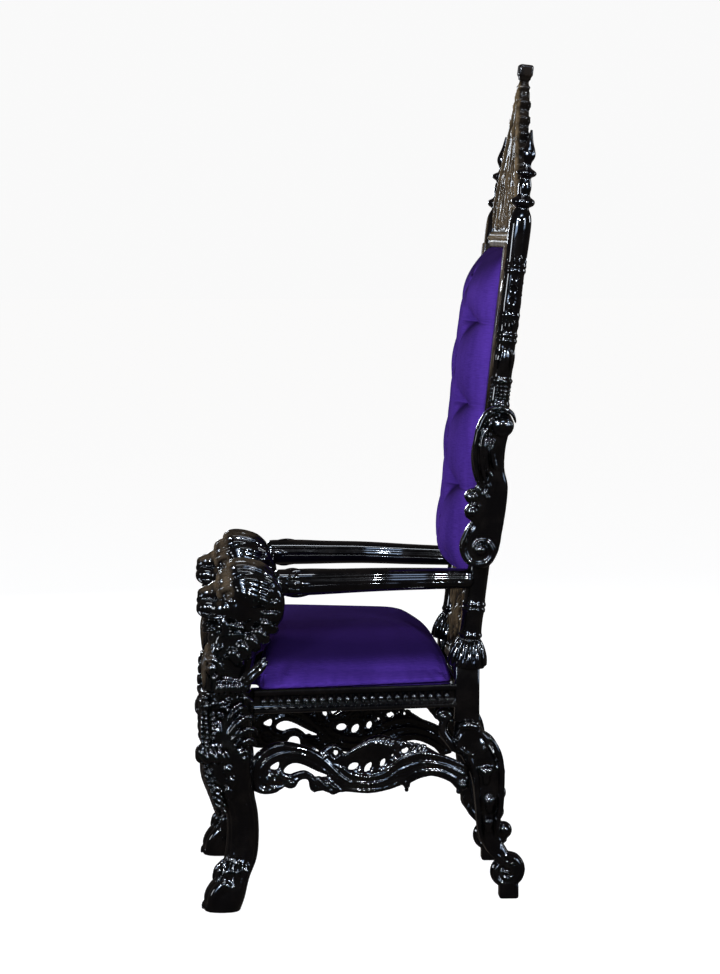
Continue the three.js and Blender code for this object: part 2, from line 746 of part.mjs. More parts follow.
/** The buttoned back pad: a plain back, and a crowned front with diamonds in its middle and pleats to its sides. */
function backPad() {
  const columns = 2 * Math.round(TUFT_STEPS / TUFT_ACROSS);
  const rows = 4 * TUFT_STEPS;
  const geometry = new THREE.BoxGeometry(2, 1, rows, columns, 1, rows);
  const at = geometry.getAttribute("position");
  for (let i = 0; i < at.count; i++) {
    const across = at.getX(i);
    const row = at.getZ(i);
    let height = TUFT_ROW + (row * TUFT_HEIGHT) / TUFT_STEPS;
    if (row === -rows / 2) height = PAD_BOTTOM;
    if (row === rows / 2) height = PAD_TOP;
    const depth = at.getY(i) > 0 ? -9 : PAD_BASE + puff(across, height);
    at.setXYZ(i, across * padHalf(height), PAD_BACK - depth, height);
  }
  const buttons = [];
  for (let row = -3; row <= 3; row++) {
    const columns = row % 2 === 0 ? [-0.5, 0.5] : [0];
    const height = TUFT_ROW + (row * TUFT_HEIGHT) / 2;
    buttons.push(...columns.map((column) => button(column * TUFT_ACROSS, height)));
  }
  const room = block([-400, -200, 0], [400, PAD_BACK, 2 * PAD_TOP]);
  return onBack(join(solid(geometry), ...buttons).intersect(room));
}

/** One covered button in its dimple, at a share across and a height along the back. */
function button(across, height) {
  const geometry = new THREE.OctahedronGeometry(1);
  geometry.scale(14, 11, 14);
  geometry.translate(across * padHalf(height), PAD_BACK - PAD_BASE - puff(across, height), height);
  return solid(indexed(geometry));
}

/** The plain upholstered panel that closes the back behind the pad. */
function backPanel() {
  const geometry = extruded(
    [[-PAD_HALF_BOTTOM, PAD_BOTTOM], [PAD_HALF_BOTTOM, PAD_BOTTOM], [PAD_HALF_TOP, PAD_TOP], [-PAD_HALF_TOP, PAD_TOP]],
    PANEL_THICKNESS,
  );
  geometry.rotateX(Math.PI / 2);
  return onBack(solid(geometry).translate([0, PAD_BACK + GAP + PANEL_THICKNESS, 0]));
}

// ---- the seat cushion --------------------------------------------------------------------------------------

/** The domed seat: an outline that fills the frame and steps in round the lions, drawn in towards its crown. */
function cushion(lions) {
  const front = FRONT_POST_Y - 34;
  const back = BACK_POST_Y - BACK_POST_HALF - 2;
  const frontHalf = SIDE_RAIL_FRONT_X + 16;
  const backHalf = SIDE_RAIL_REAR_X + 4;
  const innerHalf = FRONT_POST_X - FRONT_POST_HALF - 3;
  const corner = SIDE_RAIL_FRONT_Y + 8;
  const half = [
    [0, front - 6],
    [innerHalf - 30, front - 2],
    [innerHalf, front + 14],
    [innerHalf + 2, corner - 6],
    [frontHalf - 6, corner],
    [frontHalf - 2, corner + 40],
    [(frontHalf + backHalf) / 2, (corner + back) / 2],
    [backHalf, back - 46],
    [backHalf - 42, back],
    [0, back],
  ];
  const mirrored = half.slice(1, -1).reverse().map(([x, y]) => [-x, y]);
  const outline = half.concat(mirrored);
  const rings = [
    [0, 1],
    [0.34, 1],
    [0.62, 0.93],
    [0.84, 0.76],
    [0.96, 0.5],
    [1, 0.22],
  ];
  const middle = (front + back) / 2;
  const body = skin(rings.length, outline.length, (row, cos, sin) => {
    const [rise, share] = rings[row];
    const z = RAIL_TOP + GAP + rise * SEAT_CROWN;
    if (Math.hypot(cos, sin) < 0.5) return new THREE.Vector3(0, middle, z);
    const step = Math.round(((Math.atan2(cos, sin) + TAU) % TAU) / (TAU / outline.length)) % outline.length;
    const [x, y] = outline[step];
    return new THREE.Vector3(x * share, middle + (y - middle) * share, z);
  });
  return clear(body, lions, [[2, 0, 0], [-2, 0, 0], [0, 2, 0]]);
}

// ---- the throne ----------------------------------------------------------------------------------------------

const leg = frontLeg();
const legs = [leg, leg.mirror([1, 0, 0])];
const beast = lion();
const beasts = [beast, beast.mirror([1, 0, 0])];
const post = stile();
const posts = [post, post.mirror([1, 0, 0])];
const hindLeg = rearLeg();
const sidePiercing = clear(
  onLeftSide(sideApron(), 0),
  [leg, hindLeg],
  [[0, 1, 0], [0, -1, 0], [1, 0, 0], [-1, 0, 0]],
);

const throne = new THREE.Group();
throne.add(
  ...pair("front_leg", leg, BLACK),
  ...pair("lion_arm_support", beast, BLACK),
  ...pair("arm_rail", clear(armRail(), [beast, post], [[0, 1, 0], [0, -1, 0], [-1, 0, 0]]), BLACK),
  ...pair("seat_rail", sideRail([leg]), BLACK),
  piece("seat_rail_front", frontRail(legs), BLACK),
  piece("seat_rail_back", backRail(), BLACK),
  ...pair("side_apron", sidePiercing, BLACK),
  piece("front_apron", clear(frontApron(), legs, [[1, 0, 0], [-1, 0, 0]]), BLACK),
  piece("back_apron", backApron(), BLACK),
  ...pair("rear_leg", hindLeg, BLACK),
  ...pair("back_stile", post, BLACK),
  ...pair("ear_scroll", clear(ear(), [post], [[1, 0, 0]]), BLACK),
  piece("crest", crest(posts), BLACK),
  piece("back_splat", splat(posts), BLACK),
  piece("back_panel", backPanel(), PURPLE),
  piece("back_pad", backPad(), PURPLE),
  piece("seat_cushion", cushion(beasts), PURPLE),
);

export default throne;
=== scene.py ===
"""A carved lion throne: black lacquered hardwood, deep purple velvet, a buttoned back and a pierced crest.

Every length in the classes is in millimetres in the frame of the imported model: +Z up, the sitter faces -Y
and the sitter's left is +X. Shapes are worked out as whole numpy arrays and scaled to metres when they
become meshes. Left pieces are made first, and the right ones are their mirror images in the X = 0 plane.
"""

import logging
import math
from collections.abc import Callable
from dataclasses import dataclass, field
from enum import Enum

import bmesh
import bpy
import numpy as np
from mathutils import Matrix

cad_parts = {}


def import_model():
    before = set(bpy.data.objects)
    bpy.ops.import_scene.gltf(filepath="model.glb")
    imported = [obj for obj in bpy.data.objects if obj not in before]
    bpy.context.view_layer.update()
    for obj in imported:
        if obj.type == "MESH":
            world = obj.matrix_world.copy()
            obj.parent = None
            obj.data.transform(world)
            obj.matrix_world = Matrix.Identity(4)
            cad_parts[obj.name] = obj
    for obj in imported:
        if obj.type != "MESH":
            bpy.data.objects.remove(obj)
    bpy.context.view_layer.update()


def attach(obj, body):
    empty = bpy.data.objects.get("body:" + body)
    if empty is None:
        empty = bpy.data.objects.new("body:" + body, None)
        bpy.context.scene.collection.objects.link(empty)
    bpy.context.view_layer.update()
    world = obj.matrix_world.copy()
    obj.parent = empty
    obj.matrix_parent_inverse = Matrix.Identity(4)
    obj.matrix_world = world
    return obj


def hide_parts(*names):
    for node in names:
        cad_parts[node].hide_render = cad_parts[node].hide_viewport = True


Array = np.ndarray
Route = list[tuple[float, float]]
log = logging.getLogger("throne")
MM = 0.001
ROOT = "root"


# ---- shells: closed surfaces held as arrays ----


@dataclass
class Shell:
    """A closed surface: its points, its four-sided faces and its three-sided faces."""

    points: Array
    quads: Array
    tris: Array

    def moved(self, matrix: Array) -> "Shell":
        """The shell carried by a 4 x 4 matrix."""
        return Shell(self.points @ matrix[:3, :3].T + matrix[:3, 3], self.quads, self.tris)

    def mirrored(self) -> "Shell":
        """The shell's mirror image in the X = 0 plane."""
        return Shell(self.points * [-1, 1, 1], self.quads[:, ::-1], self.tris[:, ::-1])


def angles(sides: int) -> Array:
    """Even angles round a circle, as (1, sides)."""
    return np.linspace(0, 2 * math.pi, sides, endpoint=False)[None, :]


def squared(wave: Array, box: float) -> Array:
    """A cosine or sine raised to a power, its sign kept: a power below 1 squares a circle."""
    return np.sign(wave) * np.abs(wave) ** box


def ringed(rings: Array) -> Shell:
    """Closes a stack of rings with a pole at each end.

    Args:
        rings: points as (rows, sides, 3). Neighbouring rings are joined by quads, and the mean of the first
            and of the last ring becomes a pole that closes that end with triangles.

    Returns:
        The closed shell.
    """
    rows, sides, _ = rings.shape
    points = np.concatenate([rings.reshape(-1, 3), rings[:1].mean(axis=1), rings[-1:].mean(axis=1)])
    row = np.arange(rows - 1)[:, None] * sides
    here = np.arange(sides)[None, :]
    after = (here + 1) % sides
    quads = np.stack([row + here, row + after, row + sides + after, row + sides + here], axis=-1)
    ring = np.arange(sides)
    turn = (ring + 1) % sides
    last = (rows - 1) * sides
    bottom = np.stack([turn, ring, np.full(sides, rows * sides)], axis=-1)
    top = np.stack([last + ring, last + turn, np.full(sides, rows * sides + 1)], axis=-1)
    return Shell(points, quads.reshape(-1, 4), np.concatenate([bottom, top]))


def merged(shells: list[Shell]) -> Shell:
    """All the shells as one."""
    starts = np.cumsum([0] + [len(s.points) for s in shells[:-1]])
    return Shell(
        np.concatenate([s.points for s in shells]),
        np.concatenate([s.quads + at for s, at in zip(shells, starts)]),
        np.concatenate([s.tris + at for s, at in zip(shells, starts)]),
    )


def spline(points: Array, count: int) -> Array:
    """A smooth curve through points, sampled evenly along its length.

    Args:
        points: the points that the curve passes through, as (n, 3) or (n, 2).
        count: how many samples to return.

    Returns:
        Samples of the uniform Catmull-Rom curve, whose slope at a point is half the chord between its
            neighbours.
    """
    known = np.asarray(points, float)
    padded = np.concatenate([[2 * known[0] - known[1]], known, [2 * known[-1] - known[-2]]])
    at = np.linspace(0, len(known) - 1, 24 * len(known))
    span = np.minimum(at.astype(int), len(known) - 2)
    t = (at - span)[:, None]
    a, b, c, d = (padded[span + k] for k in range(4))
    dense = 0.5 * (2 * b + (c - a) * t + (2 * a - 5 * b + 4 * c - d) * t**2 + (3 * b - a - 3 * c + d) * t**3)
    run = np.concatenate([[0], np.cumsum(np.linalg.norm(np.diff(dense, axis=0), axis=1))])
    even = np.linspace(0, run[-1], count)
    return np.stack([np.interp(even, run, column) for column in dense.T], axis=-1)


def along(values: tuple[float, ...], count: int) -> Array:
    """A width that runs evenly through the given values along a path, as (count, 1)."""
    at = np.linspace(0, 1, count)
    knots = np.linspace(0, 1, len(values))
    return np.interp(at, knots, values)[:, None]


def sweep(path: Array, wide: Array, deep: Array, across: tuple[float, float, float], sides: int = 20,
          box: float = 1.0, blunt: float = 6.0) -> Shell:
    """Carries an oval along a path.

    Args:
        path: the path's points, (n, 3).
        wide: half the section's size along `across`, as (n, 1) or (n, sides).
        deep: half its size at right angles to `across` and to the path.
        across: the direction in which `wide` is measured.
        sides: points round the section.
        box: 1 for an ellipse, less for a squarer section: cosine and sine are raised to this power.
        blunt: how late the ends close; the section shrinks by (1 - |2t - 1| ** (4 * blunt)) ** 0.5.

    Returns:
        The swept shell.
    """
    count = len(path)
    tangent = np.gradient(path, axis=0)
    tangent /= np.linalg.norm(tangent, axis=1, keepdims=True)
    side = np.asarray(across, float) - (tangent @ np.asarray(across, float))[:, None] * tangent
    side /= np.linalg.norm(side, axis=1, keepdims=True)
    out = np.cross(tangent, side)
    phi = angles(sides)
    cos = squared(np.cos(phi), box)
    sin = squared(np.sin(phi), box)
    t = np.linspace(0, 1, count)[:, None]
    close = np.sqrt(np.clip(1 - np.abs(2 * t - 1) ** (4 * blunt), 0.002, 1))
    rings = (
        path[:, None, :]
        + side[:, None, :] * (wide * cos * close)[..., None]
        + out[:, None, :] * (deep * sin * close)[..., None]
    )
    return ringed(rings)


def tube(points: list[tuple[float, ...]], radii: tuple[float, ...], count: int = 24,
        sides: int = 14) -> Shell:
    """A round tube through points whose radius runs through the given values.

    Args:
        points: the points that its middle line passes through.
        radii: spaced evenly along it.
        count: sections along it.
        sides: points round a section.

    Returns:
        The tube as a closed shell.
    """
    radius = along(radii, count)
    path = spline(points, count)
    level = abs(path[-1, 2] - path[0, 2]) < abs(path[-1, 1] - path[0, 1])
    lean = (0.31, 0.22, 0.93) if level else (0.31, 0.93, 0.22)
    return sweep(path, radius, radius, lean, sides, blunt=2.0)


def strand(points: list[tuple[float, ...]], wide: tuple[float, ...], deep: tuple[float, ...],
        across: tuple[float, float, float], sides: int, count: int, box: float = 1.0,
        blunt: float = 6.0) -> Shell:
    """An oval swept along a smooth curve through points.

    Args:
        points: the points that its middle line passes through.
        wide: half widths along `across`, spaced evenly along it.
        deep: half depths at right angles to that.
        across: the direction in which `wide` is measured.
        sides: points round the section.
        count: sections along it.
        box: as in `sweep`.
        blunt: as in `sweep`.

    Returns:
        The strand as a closed shell.
    """
    return sweep(spline(points, count), along(wide, count), along(deep, count), across, sides, box, blunt)


def ball(center: tuple[float, float, float], radii: tuple[float, float, float], sides: int = 24) -> Shell:
    """An ellipsoid: rings of latitude from pole to pole.

    Args:
        center: its middle.
        radii: its half sizes along X, Y and Z.
        sides: points round a ring.

    Returns:
        The ball as a closed shell.
    """
    latitude = np.linspace(-math.pi / 2 + 0.06, math.pi / 2 - 0.06, sides // 2 + 3)[:, None]
    phi = angles(sides)
    unit = np.stack(
        [np.cos(latitude) * np.cos(phi), np.cos(latitude) * np.sin(phi), np.sin(latitude) + 0 * phi], axis=-1
    )
    return ringed(unit * np.asarray(radii, float) + np.asarray(center, float))


def leaf(points: list[tuple[float, float, float]], width: float, thick: float,
        across: tuple[float, float, float], lobes: float = 5, count: int = 46, sides: int = 28,
        tip: float = 0.7) -> Shell:
    """A carved acanthus leaf along a path.

    The outline is width * sin(pi * t ** tip) ** 0.7, scalloped by `lobes` waves, and its thickness is cut
    by furrows that run from the middle vein out and forwards to the notches between the lobes.

    Args:
        points: the middle vein, from the leaf's foot to its tip.
        width: half the leaf's greatest width.
        thick: half its thickness.
        across: the direction in which the leaf is wide.
        lobes: how many lobes each edge has.
        count: sections along the leaf.
        sides: points round a section.
        tip: less than 1 carries the widest part towards the foot.

    Returns:
        The leaf as a closed shell.
    """
    t = np.linspace(0, 1, count)[:, None]
    phi = angles(sides)
    reach = np.abs(np.cos(phi))
    swell = np.sin(math.pi * np.clip(t, 0.03, 0.985) ** tip) ** 0.7
    scallop = 1 - 0.2 * (0.5 - 0.5 * np.cos(2 * math.pi * lobes * t)) ** 2
    furrow = (0.5 + 0.5 * np.cos(2 * math.pi * lobes * (t - 0.2 * reach / lobes * 2))) ** 3
    vein = np.exp(-((reach / 0.16) ** 2))
    wide = width * swell * scallop + 0 * phi
    deep = thick * (0.35 + 0.65 * swell) * (1 - 0.42 * furrow * (1 - vein)) * (1 + 0.25 * vein)
    return sweep(spline(points, count), wide, deep, across, sides, blunt=8)


def lathe(profile: Array, sides: int = 48, wave: Array | float = 0.0, waves: int = 0) -> Shell:
    """A turning about +Z.

    Args:
        profile: (n, 2) of radius and height.
        sides: points round it.
        wave: how deep flutes cut each row, as a share of its radius, (n, 1) or a number.
        waves: how many flutes there are.

    Returns:
        The turned shell, its radius multiplied by 1 - wave * |sin(waves / 2 * angle)|.
    """
    phi = angles(sides)
    radius = profile[:, :1] * (1 - wave * (1 - np.abs(np.sin(waves / 2 * phi))))
    height = profile[:, 1:] + 0 * phi
    return ringed(np.stack([radius * np.cos(phi), radius * np.sin(phi), height], axis=-1))


def limb(sections: Array, rows: int, sides: int, box: float, reed: Array | float = 0.0,
        reeds: int = 0) -> Shell:
    """An upright limb through level sections.

    Args:
        sections: rows of height, middle x, half width, middle y and half depth.
        rows: how many rings to make between the first section and the last.
        sides: points round a ring.
        box: 1 for an oval ring, less for a squarer one.
        reed: depth of the reeding as a share of the radius, (rows, 1) or a number.
        reeds: how many reeds go round.

    Returns:
        The limb as a closed shell.
    """
    through = spline(sections, rows)
    z, x, half_x, y, half_y = (through[:, k : k + 1] for k in range(5))
    phi = angles(sides)
    grow = 1 - reed * (1 - np.abs(np.sin(reeds / 2 * phi)))
    cos = squared(np.cos(phi), box) * grow
    sin = squared(np.sin(phi), box) * grow
    return ringed(np.stack([x + half_x * cos, y + half_y * sin, z + 0 * phi], axis=-1))


def block(low: tuple[float, float, float], high: tuple[float, float, float], soften: float = 3.0) -> Shell:
    """A box with softened edges: a square superellipse ring carried up, drawn in at both ends.

    Args:
        low: the corner with the least X, Y and Z.
        high: the opposite corner.
        soften: how far the ends are drawn in.

    Returns:
        The block as a closed shell.
    """
    (x0, y0, z0), (x1, y1, z1) = low, high
    height = np.array([z0, z0 + 0.3 * soften, z0 + soften, z1 - soften, z1 - 0.3 * soften, z1])[:, None]
    inset = np.array([soften, 0.35 * soften, 0, 0, 0.35 * soften, soften])[:, None]
    phi = angles(40)
    cos = squared(np.cos(phi), 0.16)
    sin = squared(np.sin(phi), 0.16)
    x = (x0 + x1) / 2 + ((x1 - x0) / 2 - inset) * cos
    y = (y0 + y1) / 2 + ((y1 - y0) / 2 - inset) * sin
    return ringed(np.stack([x, y, height + 0 * phi], axis=-1))


# ---- carving in a plane: u across, v up, and y towards the back ----


def coil(u: float, v: float, outer: float, inner: float, start: float, turns: float, steps: int = 9) -> Route:
    """Points of a spiral round (u, v): the radius shrinks evenly from outer to inner as the angle turns.

    Args:
        u: the middle, across.
        v: the middle, up.
        outer: the radius at the start.
        inner: the radius at the end.
        start: the first angle, in turns from the u axis.
        turns: how far it winds, negative for clockwise.
        steps: how many points.

    Returns:
        The spiral's points.
    """
    share = np.linspace(0, 1, steps)
    angle = 2 * math.pi * (start + turns * share)
    radius = outer + (inner - outer) * share
    return list(zip(u + radius * np.cos(angle), v + radius * np.sin(angle)))


def ribbon(route: Route, wide: tuple[float, ...], deep: float, ribs: float = 0, lift: float = 0.0,
           count: int = 64) -> Shell:
    """A carved band along a route in the plane.

    Args:
        route: (u, v) points of its middle line.
        wide: half widths in the plane, spaced evenly along it.
        deep: half thickness.
        ribs: how many mouldings run along its face; the thickness is multiplied by 1 + 0.16 * cos(ribs * pi
            * s), where s runs from -1 to 1 across the band.
        lift: how far the band stands forward of the plane.
        count: sections along it.

    Returns:
        The band as a closed shell.
    """
    sides = 16 if ribs == 0 else 40
    phi = angles(sides)
    flat = spline(np.asarray(route, float), count)
    path = np.stack([flat[:, 0], np.full(count, -lift), flat[:, 1]], axis=-1)
    thickness = deep * (1 + 0.2 * np.cos(ribs * math.pi * np.sin(phi)) * (ribs > 0)) + np.zeros((count, 1))
    return sweep(path, thickness, along(wide, count), (0, 1, 0), sides, box=0.72, blunt=5)


def frond(route: Route, width: float, deep: float, lift: float = 0.0, lobes: float = 5,
        tip: float = 0.7) -> Shell:
    """A leaf that lies in the plane, its face towards the front."""
    points = [(u, -lift, v) for u, v in route]
    return leaf(points, width, deep, in_plane(points), lobes, tip=tip)


def in_plane(points: list[tuple[float, float, float]]) -> tuple[float, float, float]:
    """The direction in the u-v plane at right angles to a route's chord."""
    du = points[-1][0] - points[0][0]
    dv = points[-1][2] - points[0][2]
    size = math.hypot(du, dv)
    return (-dv / size, 0.0, du / size)


def pearl(u: float, v: float, radius: float, lift: float = 0.0) -> Shell:
    """A ball in the plane."""
    return ball((u, -lift, v), (radius, radius, radius), 18)


def closed(points: Route) -> Array:
    """A smooth closed line through points, without the repeated last point.

    Args:
        points: the points, each given once.

    Returns:
        The line's points.
    """
    known = np.asarray(points, float)
    wrapped = np.concatenate([known[-2:], known, known[:3]])
    fine = spline(wrapped, 8 * (len(wrapped) - 1))
    run = len(fine) / (len(wrapped) - 1)
    return fine[int(round(2 * run)) : int(round((2 + len(known)) * run))]


def lens(u: float, v: float, long: float, high: float, tilt: float = 0.0) -> Array:
    """A lens-shaped opening: an oval of the two half sizes, its ends a little pointed.

    Args:
        u: the middle, across.
        v: the middle, up.
        long: half its length.
        high: half its height.
        tilt: the turn, in radians.

    Returns:
        The opening's points, (24, 2).
    """
    turn = np.linspace(0, 2 * math.pi, 24, endpoint=False)
    across = long * np.cos(turn)
    up = high * np.sin(turn) * (0.72 + 0.28 * np.abs(np.sin(turn)))
    return np.stack([u + across * math.cos(tilt) - up * math.sin(tilt),
                     v + across * math.sin(tilt) + up * math.cos(tilt)], axis=-1)


def edge_distance(u: Array, v: Array, starts: Array, ends: Array) -> Array:
    """Distance from places to the nearest of the edges, positive inside.

    A place is inside where a level ray from it crosses the edges an odd number of times.

    Args:
        u: places across, as a grid.
        v: places up, as a grid.
        starts: each edge's first point, (m, 2).
        ends: each edge's last point, (m, 2).

    Returns:
        The signed distances, shaped as u.
    """
    edge = ends - starts
    found = []
    for us, vs in zip(np.array_split(u.ravel(), 24), np.array_split(v.ravel(), 24)):
        du, dv = us[:, None] - starts[:, 0], vs[:, None] - starts[:, 1]
        share = np.clip((du * edge[:, 0] + dv * edge[:, 1]) / np.maximum((edge**2).sum(axis=1), 1e-9), 0, 1)
        apart = np.hypot(du - share * edge[:, 0], dv - share * edge[:, 1]).min(axis=1)
        rises = (starts[:, 1] > vs[:, None]) != (ends[:, 1] > vs[:, None])
        reach = dv / np.where(np.abs(edge[:, 1]) < 1e-9, 1e-9, edge[:, 1]) * edge[:, 0]
        odd = (rises & (du < reach)).sum(axis=1) % 2
        found.append(apart * (2 * odd - 1))
    return np.concatenate(found).reshape(u.shape)


@dataclass
class Board:
    """A pierced board in the plane, with rounded edges and mouldings that follow them."""

    outline: Array
    holes: list[Array] = field(default_factory=list)
    deep: float = 9.0
    over: float = 9.0
    rim: float = 0.4
    mould: float = 0.0
    step: float = 8.0
    cell: float = 2.0
    lift: float = 0.0

    def shell(self) -> Shell:
        """Cells of a grid inside the outline, their corners drawn onto it.

        With d the distance from the nearest edge, the half thickness is deep * (rim + (1 - rim) * quarter
        round of d / over) * (1 + mould * cos(2 pi d / step)).

        Returns:
            The board as a closed shell.
        """
        loops = [np.asarray(loop, float) for loop in (self.outline, *self.holes)]
        starts = np.concatenate(loops)
        ends = np.concatenate([np.roll(loop, -1, axis=0) for loop in loops])
        low = starts.min(axis=0) - 2.5 * self.cell
        size = np.ceil((starts.max(axis=0) - low) / self.cell + 2.5).astype(int)
        u, v = np.meshgrid(*(low[k] + self.cell * np.arange(size[k]) for k in (0, 1)), indexing="ij")
        apart = edge_distance(u, v, starts, ends)
        inside = (apart[:-1, :-1] + apart[1:, :-1] + apart[:-1, 1:] + apart[1:, 1:]) > 0
        slope_u, slope_v = np.gradient(apart, self.cell)
        steep = np.maximum(np.hypot(slope_u, slope_v), 0.5)
        near = np.abs(apart) < 0.9 * self.cell
        u = np.where(near, u - apart * slope_u / steep**2, u)
        v = np.where(near, v - apart * slope_v / steep**2, v)
        share = np.clip(apart / self.over, 0, 1)
        half = self.rim + (1 - self.rim) * np.sqrt(1 - (1 - share) ** 2)
        half = self.deep * half * (1 + self.mould * np.cos(2 * math.pi * apart / self.step) * (share > 0))
        front = np.stack([u, -self.lift - half, v], axis=-1).reshape(-1, 3)
        back = np.stack([u, -self.lift + half, v], axis=-1).reshape(-1, 3)
        index = np.arange(u.size).reshape(u.shape)
        far = index + u.size
        i, j = np.nonzero(inside)
        quads = [np.stack([index[i, j], index[i + 1, j], index[i + 1, j + 1], index[i, j + 1]], axis=-1),
                 np.stack([far[i, j], far[i, j + 1], far[i + 1, j + 1], far[i + 1, j]], axis=-1)]
        held = np.pad(inside, 1)
        for step_i, step_j, a, b in ((1, 0, (1, 0), (1, 1)), (-1, 0, (0, 1), (0, 0)), (0, 1, (1, 1), (0, 1)),
                                     (0, -1, (0, 0), (1, 0))):
            bare = ~held[i + 1 + step_i, j + 1 + step_j]
            p, q = i[bare], j[bare]
            first, last = (p + a[0], q + a[1]), (p + b[0], q + b[1])
            quads.append(np.stack([index[first], far[first], far[last], index[last]], axis=-1))
        return Shell(np.concatenate([front, back]), np.concatenate(quads), np.zeros((0, 3), int))


def mirrored_board(right: Array, holes: list[Array], deep: float, mould: float, step: float,
        cell: float) -> Shell:
    """A board whose left half is the mirror image of its right half.

    Args:
        right: the right half's edge from one end of the middle line to the other.
        holes: the right half's openings.
        deep: half the thickness.
        mould: how high the mouldings stand, as a share of the thickness.
        step: the mouldings' pitch.
        cell: the grid's cell.

    Returns:
        The board as a closed shell.
    """
    left = (right * [-1, 1])[-2::-1]
    if right[0, 0] == 0:
        left = left[:-1]
    pairs = holes + [hole * [-1, 1] for hole in holes]
    return Board(np.concatenate([right, left]), pairs, deep, 8, 0.45, mould, step, cell).shell()


def plane_to(matrix: Array, shells: list[Shell]) -> list[Shell]:
    """Shells drawn in the plane, carried to their place."""
    return [shell.moved(matrix) for shell in shells]


def rotation(axis: str, angle: float) -> Array:
    """The 4 x 4 matrix of a turn about one axis.

    Args:
        axis: "x", "y" or "z".
        angle: in radians.

    Returns:
        The matrix.
    """
    made = np.eye(4)
    first, second = {"x": (1, 2), "y": (2, 0), "z": (0, 1)}[axis]
    made[first, first] = made[second, second] = math.cos(angle)
    made[second, first] = math.sin(angle)
    made[first, second] = -math.sin(angle)
    return made


def shift(x: float, y: float, z: float) -> Array:
    """The 4 x 4 matrix of a move."""
    made = np.eye(4)
    made[:3, 3] = (x, y, z)
    return made


# ---- the throne's lines ----


@dataclass(frozen=True)
class Lines:
    """Where the frame's members stand, shared by the pieces that meet them."""

    post_x: float = 320.0
    post_y: float = -312.0
    post_half: float = 57.0
    rail_bottom: float = 432.0
    rail_top: float = 484.0
    rail_front_x: float = 316.0
    rail_rear_x: float = 238.0
    back_x: float = 232.0
    back_y: float = 216.0
    back_half: float = 27.0
    block_bottom: float = 398.0
    stile_base: tuple[float, float, float] = (233.0, 216.0, 520.0)
    stile_top: tuple[float, float, float] = (280.0, 350.0, 1691.0)
    lion: tuple[float, float, float] = (330.0, -274.0, 682.0)

    @property
    def rake(self) -> float:
        """How far the back leans, in radians."""
        return math.atan2(self.stile_top[1] - self.stile_base[1], self.stile_top[2] - self.stile_base[2])

    @property
    def side_front_y(self) -> float:
        """Where the side rail starts, behind the front post."""
        return self.post_y + self.post_half

    @property
    def side_angle(self) -> float:
        """How far the side rails close in towards the back, in radians."""
        run = self.back_y - self.back_half - self.side_front_y
        return math.atan2(self.rail_front_x - self.rail_rear_x, run)

    def side(self) -> Array:
        """From the plane of a side apron to the left side: u runs backwards, y = 0 is the rail's middle."""
        turn = rotation("z", math.pi / 2 + self.side_angle)
        return shift(self.rail_front_x, self.side_front_y, 0) @ turn

    def back(self) -> Array:
        """From an upright plane to the raked back, heights measured from the stile's base."""
        return shift(0, self.stile_base[1], self.stile_base[2]) @ rotation("x", -self.rake)

    def stile(self) -> Array:
        """From the Z axis to the left stile's raked and splayed line."""
        line = np.asarray(self.stile_top) - np.asarray(self.stile_base)
        line /= np.linalg.norm(line)
        x_axis = np.cross([0, 1, 0], line)
        x_axis /= np.linalg.norm(x_axis)
        made = np.eye(4)
        made[:3, :3] = np.stack([x_axis, np.cross(line, x_axis), line], axis=1)
        return shift(*self.stile_base) @ made

    def up(self, z: float) -> float:
        """Height along the raked back of a point at height z above the floor."""
        return (z - self.stile_base[2]) / math.cos(self.rake)


LINES = Lines()


# ---- finishes ----


class Slot(Enum):
    """The record's material slots."""

    LACQUER = "lacquered_wood"
    VELVET = "velvet"


def fill(tree: bpy.types.NodeTree, made: bpy.types.Node, **inputs: object) -> bpy.types.Node:
    """Sets a node's inputs.

    Args:
        tree: the tree that holds the node.
        made: the node.
        **inputs: by name, underscores standing for spaces: a value, or the output of another node to link.

    Returns:
        The node.
    """
    for name, value in inputs.items():
        feed(tree, made.inputs[name.replace("_", " ")], value)
    return made


def feed(tree: bpy.types.NodeTree, socket: bpy.types.NodeSocket, value: object) -> None:
    """Gives an input its value, or links it to the output that is given instead of one."""
    if isinstance(value, bpy.types.NodeSocket):
        tree.links.new(value, socket)
    else:
        socket.default_value = value


def node(tree: bpy.types.NodeTree, kind: str, **inputs: object) -> bpy.types.Node:
    """Adds a shader node and sets its inputs as `fill` does."""
    return fill(tree, tree.nodes.new(kind), **inputs)


